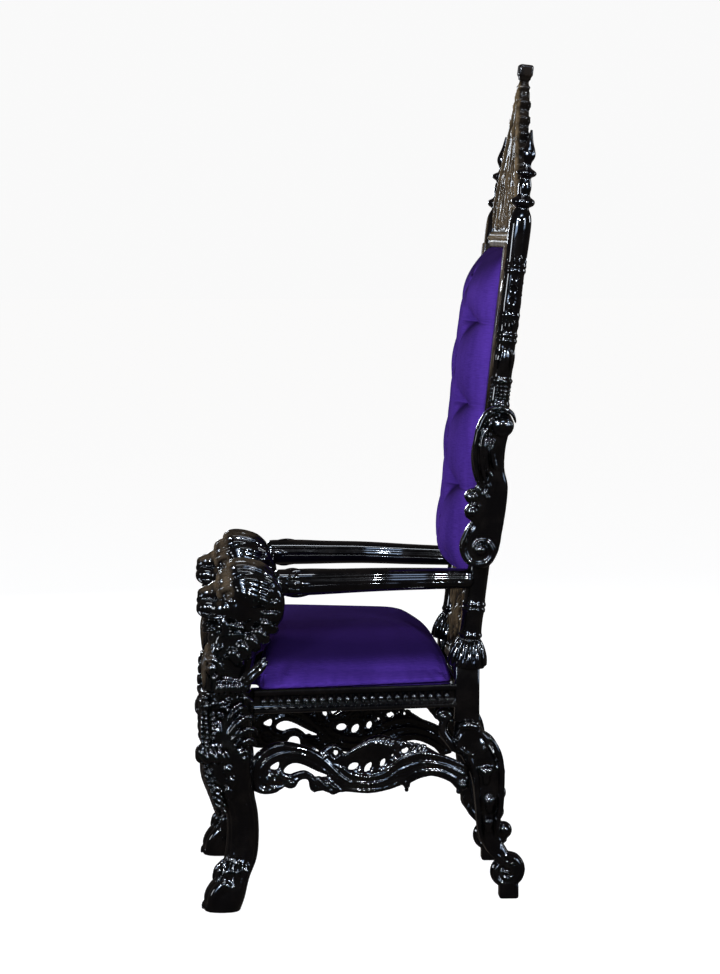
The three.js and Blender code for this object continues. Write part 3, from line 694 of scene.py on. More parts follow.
@dataclass
class Recipe:
    """A new material in the making: its node tree, its shader and the places on the object."""

    name: str

    def __post_init__(self) -> None:
        """Makes the material with its shader."""
        self.made = bpy.data.materials.new(self.name)
        self.made.use_nodes = True
        self.tree = self.made.node_tree
        self.shader = self.tree.nodes["Principled BSDF"]
        self.place = self.tree.nodes.new("ShaderNodeTexCoord").outputs["Object"]

    def noise(self, scale: float, detail: float, place: bpy.types.NodeSocket | None = None,
              **inputs: object) -> bpy.types.NodeSocket:
        """Cloudy noise over the object, or over the given places, as a value."""
        made = node(self.tree, "ShaderNodeTexNoise", Vector=place or self.place, Scale=scale, Detail=detail,
            **inputs)
        return made.outputs["Fac"]

    def stretched(self, scale: tuple[float, float, float]) -> bpy.types.NodeSocket:
        """The places on the object, scaled along each axis."""
        return node(self.tree, "ShaderNodeMapping", Vector=self.place, Scale=scale).outputs["Vector"]

    def ramp(self, drive: bpy.types.NodeSocket, ends: tuple[float, float],
             colours: tuple[tuple[float, ...], tuple[float, ...]]) -> bpy.types.NodeSocket:
        """A colour that runs from the first to the second as the driving value runs between two ends."""
        made = node(self.tree, "ShaderNodeValToRGB", Fac=drive)
        for stop, at, colour in zip(made.color_ramp.elements, ends, colours):
            stop.position, stop.color = at, colour
        return made.outputs["Color"]

    def ranged(self, drive: bpy.types.NodeSocket, low: tuple[float, float], high: tuple[float, float],
               kind: str = "LINEAR") -> bpy.types.NodeSocket:
        """A value carried from the range `low` to the range `high`."""
        made = node(self.tree, "ShaderNodeMapRange", Value=drive, From_Min=low[0], From_Max=low[1],
            To_Min=high[0], To_Max=high[1])
        made.interpolation_type = kind
        return made.outputs["Result"]

    def mixed(self, share: object, first: object, second: object,
            colour: bool = False) -> bpy.types.NodeSocket:
        """Mixes two values or two colours, each given as a value or an output."""
        made = self.tree.nodes.new("ShaderNodeMix")
        made.data_type = "RGBA" if colour else "FLOAT"
        for at, value in zip((0, 6, 7) if colour else (0, 2, 3), (share, first, second)):
            feed(self.tree, made.inputs[at], value)
        return made.outputs[2 if colour else 0]

    def bump(self, scale: float, detail: float, strength: float) -> bpy.types.NodeSocket:
        """A fine bump from noise, as a normal."""
        height = self.noise(scale, detail)
        return node(self.tree, "ShaderNodeBump", Height=height, Strength=strength,
            Distance=0.0008).outputs["Normal"]


@dataclass(frozen=True)
class Lacquer:
    """High-gloss black lacquer over a warm brown ground, with brown painted in where a piece is marked:
    partly worn lacquer, partly a painted warm reflection on faces seen edge-on.
    """

    name: str
    black: tuple[float, float, float, float] = (0.0015, 0.0013, 0.0016, 1)
    warm: tuple[float, float, float, float] = (0.007, 0.005, 0.004, 1)
    warm_share: float = 0.4
    brown: tuple[float, float, float, float] = (0.125, 0.082, 0.046, 1)
    rough: tuple[float, float] = (0.14, 0.30)
    marked_rough: float = 0.6
    coat: float = 1.0
    marked_coat: float = 0.1
    coat_rough: float = 0.05

    def material(self) -> bpy.types.Material:
        """Builds the material: cloudy colour and roughness, a faint orange-peel bump and a clear coat.

        Returns:
            The new material.
        """
        recipe = Recipe(self.name)
        cloud = recipe.noise(26.0, 5.0, Roughness=0.6)
        ends = (0.62 - 0.4 * self.warm_share, 0.86 - 0.2 * self.warm_share)
        ground = recipe.ramp(cloud, ends, (self.black, self.warm))
        # the attribute read here paints brown into the base colour, for worn lacquer and for a painted warm
        # reflection on raised and edge-on faces
        marks = recipe.tree.nodes.new("ShaderNodeAttribute")
        marks.attribute_name = "wear_and_sheen"
        wear_and_sheen = marks.outputs["Fac"]
        share = recipe.tree.nodes.new("ShaderNodeMath")
        share.operation = "MULTIPLY"
        for at, value in enumerate((wear_and_sheen, recipe.ranged(cloud, (0.35, 0.6), (0.35, 1.0)))):
            feed(recipe.tree, share.inputs[at], value)
        polish = recipe.ranged(cloud, (0.3, 0.7), self.rough)
        kept = self.coat
        if self.coat > 0.5:
            kept = recipe.ranged(wear_and_sheen, (0.0, 1.0), (self.coat, self.marked_coat))
        fill(recipe.tree, recipe.shader,
             Base_Color=recipe.mixed(share.outputs["Value"], ground, self.brown, True),
             Roughness=recipe.mixed(wear_and_sheen, polish, self.marked_rough),
             Normal=recipe.bump(260.0, 3.0, 0.05),
             Specular_IOR_Level=0.02, Coat_Weight=kept, Coat_Roughness=self.coat_rough, Coat_IOR=1.5)
        return recipe.made


@dataclass(frozen=True)
class Velvet:
    """Short-pile velvet with painted shade: bright where it faces sideways, dark where it faces up."""

    name: str
    dark: tuple[float, float, float, float] = (0.060, 0.022, 0.190, 1)
    light: tuple[float, float, float, float] = (0.120, 0.044, 0.345, 1)
    # the painted shade colour for faces that look up
    painted_top_shade: tuple[float, float, float, float] = (0.016, 0.006, 0.038, 1)

    def material(self) -> bpy.types.Material:
        """Builds the material: a streaky nap crossed by a fine weft, with painted shade that darkens it the
        more it faces upwards.

        Returns:
            The new material.
        """
        recipe = Recipe(self.name)
        nap = recipe.noise(1.0, 6.0, recipe.stretched((9.0, 9.0, 2.0)), Roughness=0.68)
        weft = recipe.noise(1.0, 2.0, recipe.stretched((60.0, 60.0, 900.0)))
        shade = recipe.ramp(recipe.mixed(0.35, nap, weft), (0.36, 0.66), (self.dark, self.light))
        # painted shade: the colour darkens towards a near-black purple the more the surface faces up
        facing = node(recipe.tree, "ShaderNodeNewGeometry").outputs["Normal"]
        rise = node(recipe.tree, "ShaderNodeSeparateXYZ", Vector=facing).outputs["Z"]
        share = recipe.ranged(rise, (0.04, 0.62), (0.0, 0.93), "SMOOTHSTEP")
        fill(recipe.tree, recipe.shader,
             Base_Color=recipe.mixed(share, shade, self.painted_top_shade, True),
             Normal=recipe.bump(1500.0, 2.0, 0.25),
             Roughness=1.0, Specular_IOR_Level=0.0, Sheen_Weight=0.05, Sheen_Roughness=0.45,
             Sheen_Tint=(0.45, 0.25, 0.95, 1))
        return recipe.made


# ---- from shells to pieces ----


def linked(name: str, data: bpy.types.ID) -> bpy.types.Object:
    """A new object that holds the data, linked to the scene."""
    made = bpy.data.objects.new(name, data)
    bpy.context.scene.collection.objects.link(made)
    return made


def points_of(mesh: bpy.types.Mesh) -> Array:
    """A mesh's points in metres, as (n, 3)."""
    points = np.empty(3 * len(mesh.vertices), np.float32)
    mesh.vertices.foreach_get("co", points)
    return points.reshape(-1, 3)


def put_points(mesh: bpy.types.Mesh, points: Array) -> None:
    """Moves a mesh's points to the given places, in metres."""
    mesh.vertices.foreach_set("co", points.ravel())
    mesh.update()


def modify(piece: bpy.types.Object, kind: str, **settings: object) -> bpy.types.Modifier:
    """Adds a modifier of a kind with the given settings."""
    made = piece.modifiers.new(kind.lower(), kind)
    for name, value in settings.items():
        setattr(made, name, value)
    return made


def smooth_faces(mesh: bpy.types.Mesh, smooth: bool = True) -> None:
    """Shades every face of a mesh smooth, or flat."""
    mesh.polygons.foreach_set("use_smooth", np.full(len(mesh.polygons), smooth))


@dataclass
class Workshop:
    """Turns shells into finished pieces: fuses, thins, dresses, mounts and logs them."""

    finishes: dict[Slot, bpy.types.Material]
    cloth_frames: int = 20
    faces: int = 0

    def mesh(self, name: str, shell: Shell, smooth: bool = True) -> bpy.types.Object:
        """Makes an object at the origin from a shell.

        Args:
            name: the object's name.
            shell: its surface, in millimetres.
            smooth: whether its faces are shaded smooth.

        Returns:
            The new object.
        """
        data = bpy.data.meshes.new(name)
        data.vertices.add(len(shell.points))
        data.vertices.foreach_set("co", (shell.points * MM).astype(np.float32).ravel())
        loops = np.concatenate([shell.quads.ravel(), shell.tris.ravel()]).astype(np.int32)
        sizes = np.concatenate([np.full(len(shell.quads), 4), np.full(len(shell.tris), 3)])
        data.loops.add(len(loops))
        data.loops.foreach_set("vertex_index", loops)
        data.polygons.add(len(sizes))
        data.polygons.foreach_set("loop_start", (np.cumsum(sizes) - sizes).astype(np.int32))
        smooth_faces(data, smooth)
        data.update(calc_edges=True)
        data.validate()
        return linked(name, data)

    def settle(self, piece: bpy.types.Object) -> None:
        """Applies a piece's modifiers to its mesh."""
        graph = bpy.context.evaluated_depsgraph_get()
        done = bpy.data.meshes.new_from_object(piece.evaluated_get(graph))
        piece.modifiers.clear()
        piece.data = done

    def fuse(self, name: str, shells: list[Shell], voxel: float, rounds: int,
            keep: float) -> bpy.types.Object:
        """Makes overlapping shells one carved surface.

        Args:
            name: the piece's name.
            shells: closed shells that overlap.
            voxel: the remesh's cell, in millimetres.
            rounds: smoothing rounds, which round the cuts as thick lacquer does.
            keep: the share of faces kept when flat places are thinned.

        Returns:
            The fused piece.
        """
        piece = self.mesh(name, merged(shells))
        modify(piece, "REMESH", mode="VOXEL", voxel_size=voxel * MM)
        modify(piece, "SMOOTH", factor=0.5, iterations=rounds)
        modify(piece, "DECIMATE", ratio=keep)
        self.settle(piece)
        smooth_faces(piece.data)
        return piece

    def swell(self, piece: bpy.types.Object, cell: float, pressure: float, cap: float, pinned: float) -> None:
        """Lets a pad swell as stretched cloth round its filling, with its lowest edge held.

        Args:
            piece: the pad, which is remeshed.
            cell: the cloth's cell, in millimetres.
            pressure: how hard the filling presses outwards.
            cap: how far a point may move, in millimetres.
            pinned: the height up to which the cloth is tacked down, in millimetres.
        """
        modify(piece, "REMESH", mode="VOXEL", voxel_size=cell * MM)
        self.settle(piece)
        mesh = piece.data
        start = points_of(mesh)
        tacked = piece.vertex_groups.new(name="tacked")
        tacked.add(np.flatnonzero(start[:, 2] < pinned * MM).tolist(), 1.0, "REPLACE")
        cloth = modify(piece, "CLOTH").settings
        cloth.use_pressure = True
        cloth.uniform_pressure_force = pressure
        cloth.vertex_group_mass = tacked.name
        cloth.effector_weights.gravity = 0
        scene = bpy.context.scene
        for frame in range(1, self.cloth_frames + 1):
            scene.frame_set(frame)
        step = points_of(piece.evaluated_get(bpy.context.evaluated_depsgraph_get()).data) - start
        far = np.maximum(np.linalg.norm(step, axis=1, keepdims=True), 1e-9)
        log.info("%s swells by up to %.1f mm, held to %.1f", piece.name, far.max() / MM, cap)
        piece.modifiers.clear()
        piece.vertex_groups.clear()
        scene.frame_set(1)
        put_points(mesh, start + step * np.minimum(1, cap * MM / far))
        modify(piece, "SMOOTH", factor=0.5, iterations=4)
        self.settle(piece)

    def mark_wear_and_sheen(self, piece: bpy.types.Object, share: Callable[[Array], Array]) -> None:
        """Writes how far brown is painted into the lacquer, for wear and for a painted warm reflection, as
        the attribute the finish reads.

        Args:
            piece: the piece to mark.
            share: gives the marks for the piece's points, which it gets in millimetres.
        """
        layer = piece.data.attributes.new("wear_and_sheen", "FLOAT", "POINT")
        marks = np.clip(share(points_of(piece.data) / MM), 0, 1)
        layer.data.foreach_set("value", marks.astype(np.float32))

    def twin(self, piece: bpy.types.Object, name: str) -> bpy.types.Object:
        """The mirror image of a left-hand piece.

        Args:
            piece: the left-hand piece.
            name: the new piece's name.

        Returns:
            The right-hand piece.
        """
        data = piece.data.copy()
        data.name = name
        points = points_of(data)
        points[:, 0] *= -1
        data.flip_normals()
        put_points(data, points)
        return linked(name, data)

    def finish(self, piece: bpy.types.Object, slot: Slot, nodes: list[str],
               material: bpy.types.Material | None = None) -> None:
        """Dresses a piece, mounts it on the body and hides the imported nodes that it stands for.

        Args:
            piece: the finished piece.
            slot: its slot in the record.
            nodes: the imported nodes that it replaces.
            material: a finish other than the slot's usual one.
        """
        piece.data.materials.clear()
        piece.data.materials.append(material or self.finishes[slot])
        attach(piece, ROOT)
        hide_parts(*nodes)
        piece.data.calc_loop_triangles()
        count = len(piece.data.loop_triangles)
        self.faces += count
        log.info("%s: %d triangles", piece.name, count)

    def finish_pair(self, left: bpy.types.Object, slot: Slot, base: str) -> None:
        """Dresses a left-hand piece and its mirror image.

        Args:
            left: the left-hand piece, whose name has "left" in it.
            slot: their slot in the record.
            base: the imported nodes' common name, before _left and _right.
        """
        right = self.twin(left, left.name.replace("left", "right"))
        self.finish(left, slot, [f"{base}_left"])
        self.finish(right, slot, [f"{base}_right"])


# ---- front legs ----


@dataclass
class FrontLeg:
    """The left front leg: beaded corner block, leafy knee, reeded cabriole shin and a lion's paw."""

    reeds: int = 14
    reed_depth: float = 0.13
    toe_pitch: float = 21.0
    bead: float = 4.8
    voxel: float = 2.2

    def shin(self) -> Shell:
        """The body from the rail down to the sole, its lower half reeded."""
        x, y, half = LINES.post_x, LINES.post_y, LINES.post_half
        sections = np.array([
            [LINES.rail_top - 1, x, half - 8, y, half - 2],
            [LINES.rail_bottom, x, half - 8, y, half - 2],
            [392, x + 1, half - 6, y - 1, half - 2],
            [345, x + 4, half - 3, y + 3, half - 1],
            [300, x + 2, half - 10, y + 9, half - 8],
            [258, x - 5, half - 16, y + 20, half - 17],
            [212, x - 11, half - 21, y + 33, half - 22],
            [160, x - 15, half - 22, y + 35, half - 22],
            [112, x - 14, half - 21, y + 29, half - 21],
            [70, x - 8, half - 16, y + 12, half - 20],
            [30, x - 5, half - 12, y - 4, half - 14],
            [2, x - 4, half - 14, y - 10, half - 18],
        ])
        rows = 150
        height = np.linspace(LINES.rail_top, 0, rows)[:, None]
        reed = self.reed_depth * np.clip((300 - height) / 60, 0, 1) * np.clip((height - 40) / 40, 0, 1)
        return limb(sections, rows, 144, 0.8, reed, self.reeds)

    def paw(self) -> list[Shell]:
        """Four toes with knuckles and claws, and tufts of fur above them."""
        x, y = LINES.post_x - 4, LINES.post_y
        shells = []
        for step in (-1.5, -0.5, 0.5, 1.5):
            side = x + step * self.toe_pitch
            back = 7 * abs(step)
            shells.append(tube([(side, y + 12, 44), (side, y - 16 + back, 60), (side, y - 35 + back, 42),
                (side, y - 46 + back, 14)], (9, 14.5, 14, 12), 26, 16))
            shells.append(tube([(side, y - 44 + back, 20), (side, y - 54 + back, 13),
                (side, y - 58 + back, 3)], (6, 5, 1.2), 12, 10))
        for turn in np.linspace(-2.3, 2.3, 9):
            out_x, out_y = math.sin(turn), -math.cos(turn)
            shells.append(tube([(x - 5 + 30 * out_x, y + 22 + 29 * out_y, 112),
                (x - 5 + 39 * out_x, y + 16 + 38 * out_y, 88),
                (x - 4 + 43 * out_x, y + 10 + 42 * out_y, 66)], (3, 8, 2), 14, 10))
        return shells

    def knee(self) -> list[Shell]:
        """The serrated leaf that runs down the leg's front edge, and the husks down its outer side."""
        x, y = LINES.post_x, LINES.post_y
        shells = []
        down = [(x + 6, y - 48, 338), (x + 8, y - 44, 304), (x + 2, y - 30, 262), (x - 6, y - 14, 204)]
        shells.append(leaf(down, 44, 11, (1, 0, 0), 8, 90, 40))
        shells.append(tube([(a, b - 7, c) for a, b, c in down], (5, 6, 5, 2), 40, 12))
        for rise in np.linspace(322, 232, 7):
            lean = (338 - rise) / 134
            shells.append(tube([(x + 10 - 4 * lean, y - 46 + 30 * lean, rise + 4),
                (x + 38 - 14 * lean, y - 36 + 28 * lean, rise),
                (x + 48 - 18 * lean, y - 18 + 24 * lean, rise - 14)], (3.5, 5.5, 2.5), 16, 12))
            shells.append(tube([(x + 2 - 4 * lean, y - 46 + 30 * lean, rise + 4),
                (x - 26 + 4 * lean, y - 38 + 28 * lean, rise),
                (x - 40 + 8 * lean, y - 20 + 24 * lean, rise - 14)], (3.5, 5.5, 2.5), 16, 12))
        for out, rise in ((0, 316), (7, 292), (3, 268)):
            shells.append(leaf([(x + 50 - 0.2 * (316 - rise), y + out - 2, rise + 18),
                (x + 56 - 0.2 * (316 - rise), y + out + 2, rise),
                (x + 46 - 0.2 * (316 - rise), y + out + 4, rise - 22)], 11, 6, (0, 1, 0), 2, 34, 20))
        return shells

    def face(self) -> list[Shell]:
        """The carving on the corner block's outer face, and the leaves below it."""
        shells = []

        def place(out: float, along_y: float, rise: float) -> tuple[float, float, float]:
            """A point beside the outer face."""
            return (LINES.post_x + LINES.post_half + out, LINES.post_y + along_y, rise)

        for offset, low, high in ((-43, 376, 440), (-30, 384, 446), (4, 446, 474)):
            for rise in np.arange(low, high, 10.4):
                middle = place(-6 + 2 * math.sin((rise - 360) / 30), offset + 1.5 * math.sin(rise / 12), rise)
                shells.append(ball(middle, (self.bead, self.bead, self.bead), 14))
        for offset, rise, radius in ((-44, 454, 8.5), (-28, 460, 6), (-8, 452, 8), (-14, 432, 5.5),
            (-44, 472, 5)):
            shells.append(ball(place(-7, offset, rise), (radius, radius, 1.15 * radius), 20))
        shells.append(tube([place(-10, -17, 372), place(-6, -18, 400), place(-11, -16, 424)], (4, 6, 3), 30,
            14))
        for route, radii in (([(-4, 376), (14, 404), (36, 428), (54, 430), (58, 416)], (4, 8, 10, 8, 5)),
                             ([(0, 366), (20, 388), (42, 404), (60, 402), (64, 388)], (4, 8, 10, 8, 5)),
                             ([(8, 360), (28, 372), (48, 382), (60, 376), (60, 364)], (4, 7, 9, 7, 4)),
                             ([(2, 410), (10, 430), (28, 450), (44, 452)], (3, 6, 8, 5)),
                             ([(22, 470), (38, 474), (54, 462), (50, 450)], (3, 6, 7, 4))):
            last = len(route) - 1
            points = [place(-12 + 9 * math.sin(math.pi * k / last), u, v) for k, (u, v) in enumerate(route)]
            shells.append(strand(points, radii, tuple(0.8 * r for r in radii), (1, 0, 0), 18, 44, blunt=2.4))
        for foot in (-50, -31, -12):
            shells.append(tube([place(-9, foot - 10, 370), place(1, foot - 3, 356), place(1, foot + 6, 342),
                place(-9, foot + 15, 328)], (5, 9, 9.5, 5), 30, 18))
        for u, v in ((16, 350), (38, 346)):
            points = [place(-4, a, b) for a, b in coil(u, v, 11, 3, 0.1, 1.2, 12)]
            shells.append(strand(points, (4, 5, 4, 3), (5, 6, 5, 4), (1, 0, 0), 14, 60))
        return shells

    def beading(self) -> list[Shell]:
        """The same carving on both outer faces, mirrored about the block's corner."""
        outer = self.face()
        x, y = LINES.post_x, LINES.post_y
        swap = shift(x, y, 0) @ np.array([[0, -1, 0, 0], [-1, 0, 0, 0], [0, 0, 1, 0],
            [0, 0, 0, 1.0]]) @ shift(-x, -y, 0)
        front = [Shell((s.points @ swap[:3, :3].T) + swap[:3, 3], s.quads[:, ::-1], s.tris[:, ::-1])
            for s in outer]
        return outer + front

    def build(self, shop: Workshop) -> None:
        """Fuses the left leg, mirrors it and dresses both."""
        shells = [self.shin(), *self.paw(), *self.knee(), *self.beading()]
        left = shop.fuse("carved_front_leg_left", shells, self.voxel, 3, 0.4)
        flatten(left)
        shop.finish_pair(left, Slot.LACQUER, "front_leg")


def flatten(piece: bpy.types.Object, floor: float = 0.0) -> None:
    """Cuts a sole flat: every point below the floor is lifted onto it."""
    points = points_of(piece.data)
    points[:, 2] = np.maximum(points[:, 2], floor)
    put_points(piece.data, points)


# ---- the lions ----


@dataclass
class Lion:
    """The left lion: face, swept forelock, a ruff of flat locks, and the breast with its scroll and leaves.

    Places are given from the middle of the head.
    """

    locks: int = 8
    voxel: float = 1.9

    def at(self, x: float, y: float, z: float) -> tuple[float, float, float]:
        """A point given from the middle of the head."""
        return (LINES.lion[0] + x, LINES.lion[1] + y, LINES.lion[2] + z)

    def run(self, side: int, points: list[tuple[float, float, float]], radii: tuple[float, ...],
            count: int = 24, sides: int = 14) -> Shell:
        """A tube through points given for the left side of the head, or mirrored where side is -1."""
        return tube([self.at(side * x, y, z) for x, y, z in points], radii, count, sides)

    def face(self) -> list[Shell]:
        """Skull, nose, muzzle and jaw."""
        at = self.at
        shells = [
            ball(at(0, -16, 4), (50, 50, 56), 40),
            ball(at(0, -68, 13), (21, 32, 18), 32),
            ball(at(0, -52, 22), (24, 26, 19), 32),
            ball(at(0, -89, 6), (17, 11, 14), 32),
            ball(at(0, -96, -2), (10, 6, 8)),
            ball(at(0, -52, -60), (28, 31, 21), 32),
            ball(at(0, -50, -84), (26, 28, 20), 32),
            ball(at(0, -60, -36), (24, 26, 12), 32),
        ]
        for side in (-1, 1):
            shells += self.half_face(side)
        for row, (drop, reach) in enumerate(((-45, 84), (-57, 87), (-68, 86))):
            arc = np.linspace(-1.25, 1.25, 9)
            lip = [(31 * math.sin(a), -52 - (reach - 52) * math.cos(a), drop + 3 * abs(a)) for a in arc]
            shells.append(self.run(1, lip, (3, 4.6 - 0.4 * row, 4.6, 3), 40, 12))
        return shells

    def half_face(self, side: int) -> list[Shell]:
        """One side: muzzle pad, cheek, eye with its brow and lid, nostril, lip, jaw and teeth."""
        at, run = self.at, self.run
        shells = [
            ball(at(15 * side, -76, -17), (22, 25, 20), 32),
            ball(at(24 * side, -40, -20), (26, 34, 28), 32),
            ball(at(24 * side, -6, -16), (34, 40, 42), 40),
            ball(at(42 * side, -24, 12), (10, 12, 9), 24),
            ball(at(50 * side, 14, 31), (9, 18, 14), 28),
            run(side, [(28, -54, 26), (40, -42, 32), (46, -24, 30), (49, -6, 18)], (4, 8, 8, 3)),
            run(side, [(38, -46, 12), (47, -34, 2), (51, -18, 0), (51, -2, 8)], (2, 4.5, 4.5, 2)),
            run(side, [(10, -98, -8), (18, -98, -22), (30, -86, -32), (41, -64, -36), (50, -40, -34)],
                (3, 5, 5.5, 5, 3)),
            run(side, [(40, -54, -30), (46, -42, -46), (44, -40, -64), (36, -50, -78)], (4, 8, 8, 5)),
        ]
        for k in range(4):
            shells.append(run(side, [(50 - 0.5 * k, -28 + 8 * k, -44 - 2 * k),
                (53 - 0.5 * k, -27 + 8 * k, -52 - 2 * k), (50 - 0.5 * k, -26 + 8 * k, -60 - 2 * k)],
                (3, 4.4, 2.6)))
        return shells

    def forelock(self) -> list[Shell]:
        """Strands combed back from the brow in two steps, over the crown and down both sides to the ruff."""
        shells = []
        for x in np.linspace(-42, 42, 7):
            drop = 0.016 * x * x
            shells.append(self.run(1, [(0.9 * x, -52, 32 - drop), (x, -52, 48 - drop),
                (1.05 * x, -38, 58 - drop), (1.1 * x, -6, 58 - drop)], (5, 9, 9, 5)))
        for x in np.linspace(-48, 48, 9):
            drop = 0.017 * x * x
            shells.append(self.run(1, [(0.85 * x, -32, 56 - drop), (0.9 * x, -30, 74 - drop),
                (x, -6, 81 - drop), (1.1 * x, 34, 73 - drop), (1.15 * x, 66, 54 - drop)], (5, 9, 9, 8, 4),
                34))
        for side in (-1, 1):
            for k in range(4):
                shells.append(self.run(side, [(46 + k, -34 + 4 * k, 38 - 5 * k),
                    (55 + 2 * k, -6, 46 - 8 * k), (60 + 2 * k, 26, 44 - 11 * k),
                    (56 + k, 58 + k, 34 - 13 * k)], (4, 8, 8, 5)))
        return shells

    def ruff(self) -> list[Shell]:
        """A spiral of flat locks behind and below each cheek, and the mass of the mane under them.

        Each lock lies across the spiral like a roof tile: it runs outwards from the cheek and rolls over at
        its end, and it leans so that one long edge stands over its neighbour.
        """
        at = self.at
        masses = (((-32, 14, 20), (36, 48, 42)), ((32, 14, 20), (36, 48, 42)), ((0, 20, -14), (50, 50, 62)),
                  ((0, 2, -44), (44, 48, 56)), ((0, 36, 12), (46, 34, 48)), ((0, -14, -88), (40, 34, 40)))
        shells = [ball(at(*middle), radii, 40) for middle, radii in masses]
        middle = spline(np.array([(50, 26), (58, 4), (60, -20), (56, -45), (42, -68), (22, -87), (-2, -106),
            (-28, -126)], float), 8 * self.locks)
        heading = np.gradient(middle, axis=0)
        heading /= np.linalg.norm(heading, axis=1, keepdims=True)
        for side in (-1, 1):
            for (y, z), (along_y, along_z) in zip(middle[4::8], heading[4::8]):
                route = [(52 - 0.06 * (40 - z) + rise, y - part * along_z, z + part * along_y)
                         for part, rise in ((-20, -3), (-8, 5), (6, 5), (17, -4), (22, -16))]
                shells.append(strand([at(side * a, b, c) for a, b, c in route], (9, 12.5, 13, 11, 7),
                    (6, 7, 7, 7, 5), (-0.5 * side, along_y, along_z), 28, 30, box=0.8, blunt=3))
        for k in range(-2, 3):
            shells.append(self.run(1, [(19 * k, 34, 62 - 2 * k * k), (22 * k, 62, 40 - 2 * k * k),
                (22 * k, 74, 4), (20 * k, 72, -34), (17 * k, 58, -66)], (6, 12, 13, 12, 6), 34, 16))
        return shells

    def breast(self) -> list[Shell]:
        """The throat and breast, its rim and scroll, a beaded hem and three kinds of leaves."""
        at, run = self.at, self.run
        sections = np.array([
            [612, 0, 48, -10, 54], [590, -2, 45, -18, 56], [566, -5, 44, -26, 54],
            [540, -8, 44, -30, 52], [510, -9, 47, -34, 50], [LINES.rail_top + 1, -10, 50, -36, 50],
        ]) + [0, LINES.lion[0], 0, LINES.lion[1], 0]
        shells = [limb(sections, 50, 60, 0.75)]
        for side, reach in ((1, 40), (-1, 52)):
            shells += [
                run(side, [(reach - 6, -50, -86), (reach, -46, -98), (reach + 1, -62, -107),
                    (reach - 4, -80, -118), (reach - 4, -87, -140), (reach - 4, -86, -168),
                    (reach - 6, -84, -196)], (2.5, 4, 4.5, 5, 5.5, 5, 5)),
                run(side, [(reach, -82, -130), (reach + 4, -66, -126), (reach + 5, -52, -138),
                    (reach + 4, -52, -158), (reach + 2, -62, -168), (reach + 1, -70, -160),
                    (reach + 1, -68, -150)], (4, 7, 8, 8, 7, 5, 3)),
                ball(at(side * (reach + 2), -70, -146), (9, 11, 13), 24),
                run(side, [(reach + 2, -44, -120), (reach + 3, -24, -124), (reach + 2, 0, -122),
                    (reach - 2, 20, -112)], (4, 6, 6, 4)),
            ]
            for k in range(8):
                shells.append(ball(at(side * (reach + 5), -46 + 6.2 * k, -166 - 0.7 * k), (3.4, 3.2, 3.2),
                    10))
            for k in range(6):
                foot = -58 + 12 * k
                shells.append(leaf([at(side * (reach + 2), foot + 5, -168),
                    at(side * (reach + 8), foot + 1, -184), at(side * (reach + 9), foot - 4, -205)], 7.5, 6,
                    (0, 1, 0), 1, 30, 18))
            for lift in (0, 1):
                y, z = 5 * lift - 4, -9 * lift
                shells.append(leaf([at(side * (reach + 6), -8 + y, -176 + z),
                    at(side * (reach + 11), 10 + y, -160 + z), at(side * (reach + 12), 32 + y, -140 + z),
                    at(side * (reach + 6), 52 + y, -118 + z)], 10, 6, (0, 0.72, -0.7), 1, 40, 20, 0.85))
        for k in range(-3, 4):
            shells.append(run(1, [(13 * k, -74 + 1.6 * k * k, -92), (13 * k, -80 + 1.6 * k * k, -112),
                (12 * k, -84 + 1.8 * k * k, -140), (10 * k, -80 + 1.8 * k * k, -176)], (5, 8, 9, 4), 24, 12))
        return shells

    def brown(self, points: Array) -> Array:
        """Where brown is painted into the lacquer, for wear and for a painted warm reflection: the crown, the
        brow, the nose and the breast's rim.
        """
        x, y, z = (points - LINES.lion).T
        low_step = np.clip(1 - np.hypot(y + 58, (z - 46 + 0.016 * x * x) * 0.55) / 15, 0, 1)
        high_step = np.clip(1 - np.hypot(y + 37, (z - 72 + 0.017 * x * x) * 0.55) / 17, 0, 1)
        crown = np.maximum(1.5 * np.maximum(low_step, high_step), 0.4 * np.clip((z - 70) / 8, 0, 1))
        nose = np.clip((z - 12) / 8, 0, 1) * np.clip((-62 - y) / 10, 0, 1) * 0.5
        rim = np.clip(1 - np.hypot(y + 78 + 0.3 * np.abs(z + 117), np.maximum(np.abs(z + 140) - 40, 0)) / 14,
            0, 1)
        return np.clip(np.maximum(np.maximum(crown, nose), 0.9 * rim), 0, 1)

    def build(self, shop: Workshop) -> None:
        """Fuses the left lion, mirrors it and dresses both."""
        shells = [*self.face(), *self.forelock(), *self.ruff(), *self.breast()]
        left = shop.fuse("lion_head_and_breast_left", shells, self.voxel, 2, 0.42)
        shop.mark_wear_and_sheen(left, self.brown)
        shop.finish_pair(left, Slot.LACQUER, "lion_arm_support")


# ---- arm rails ----


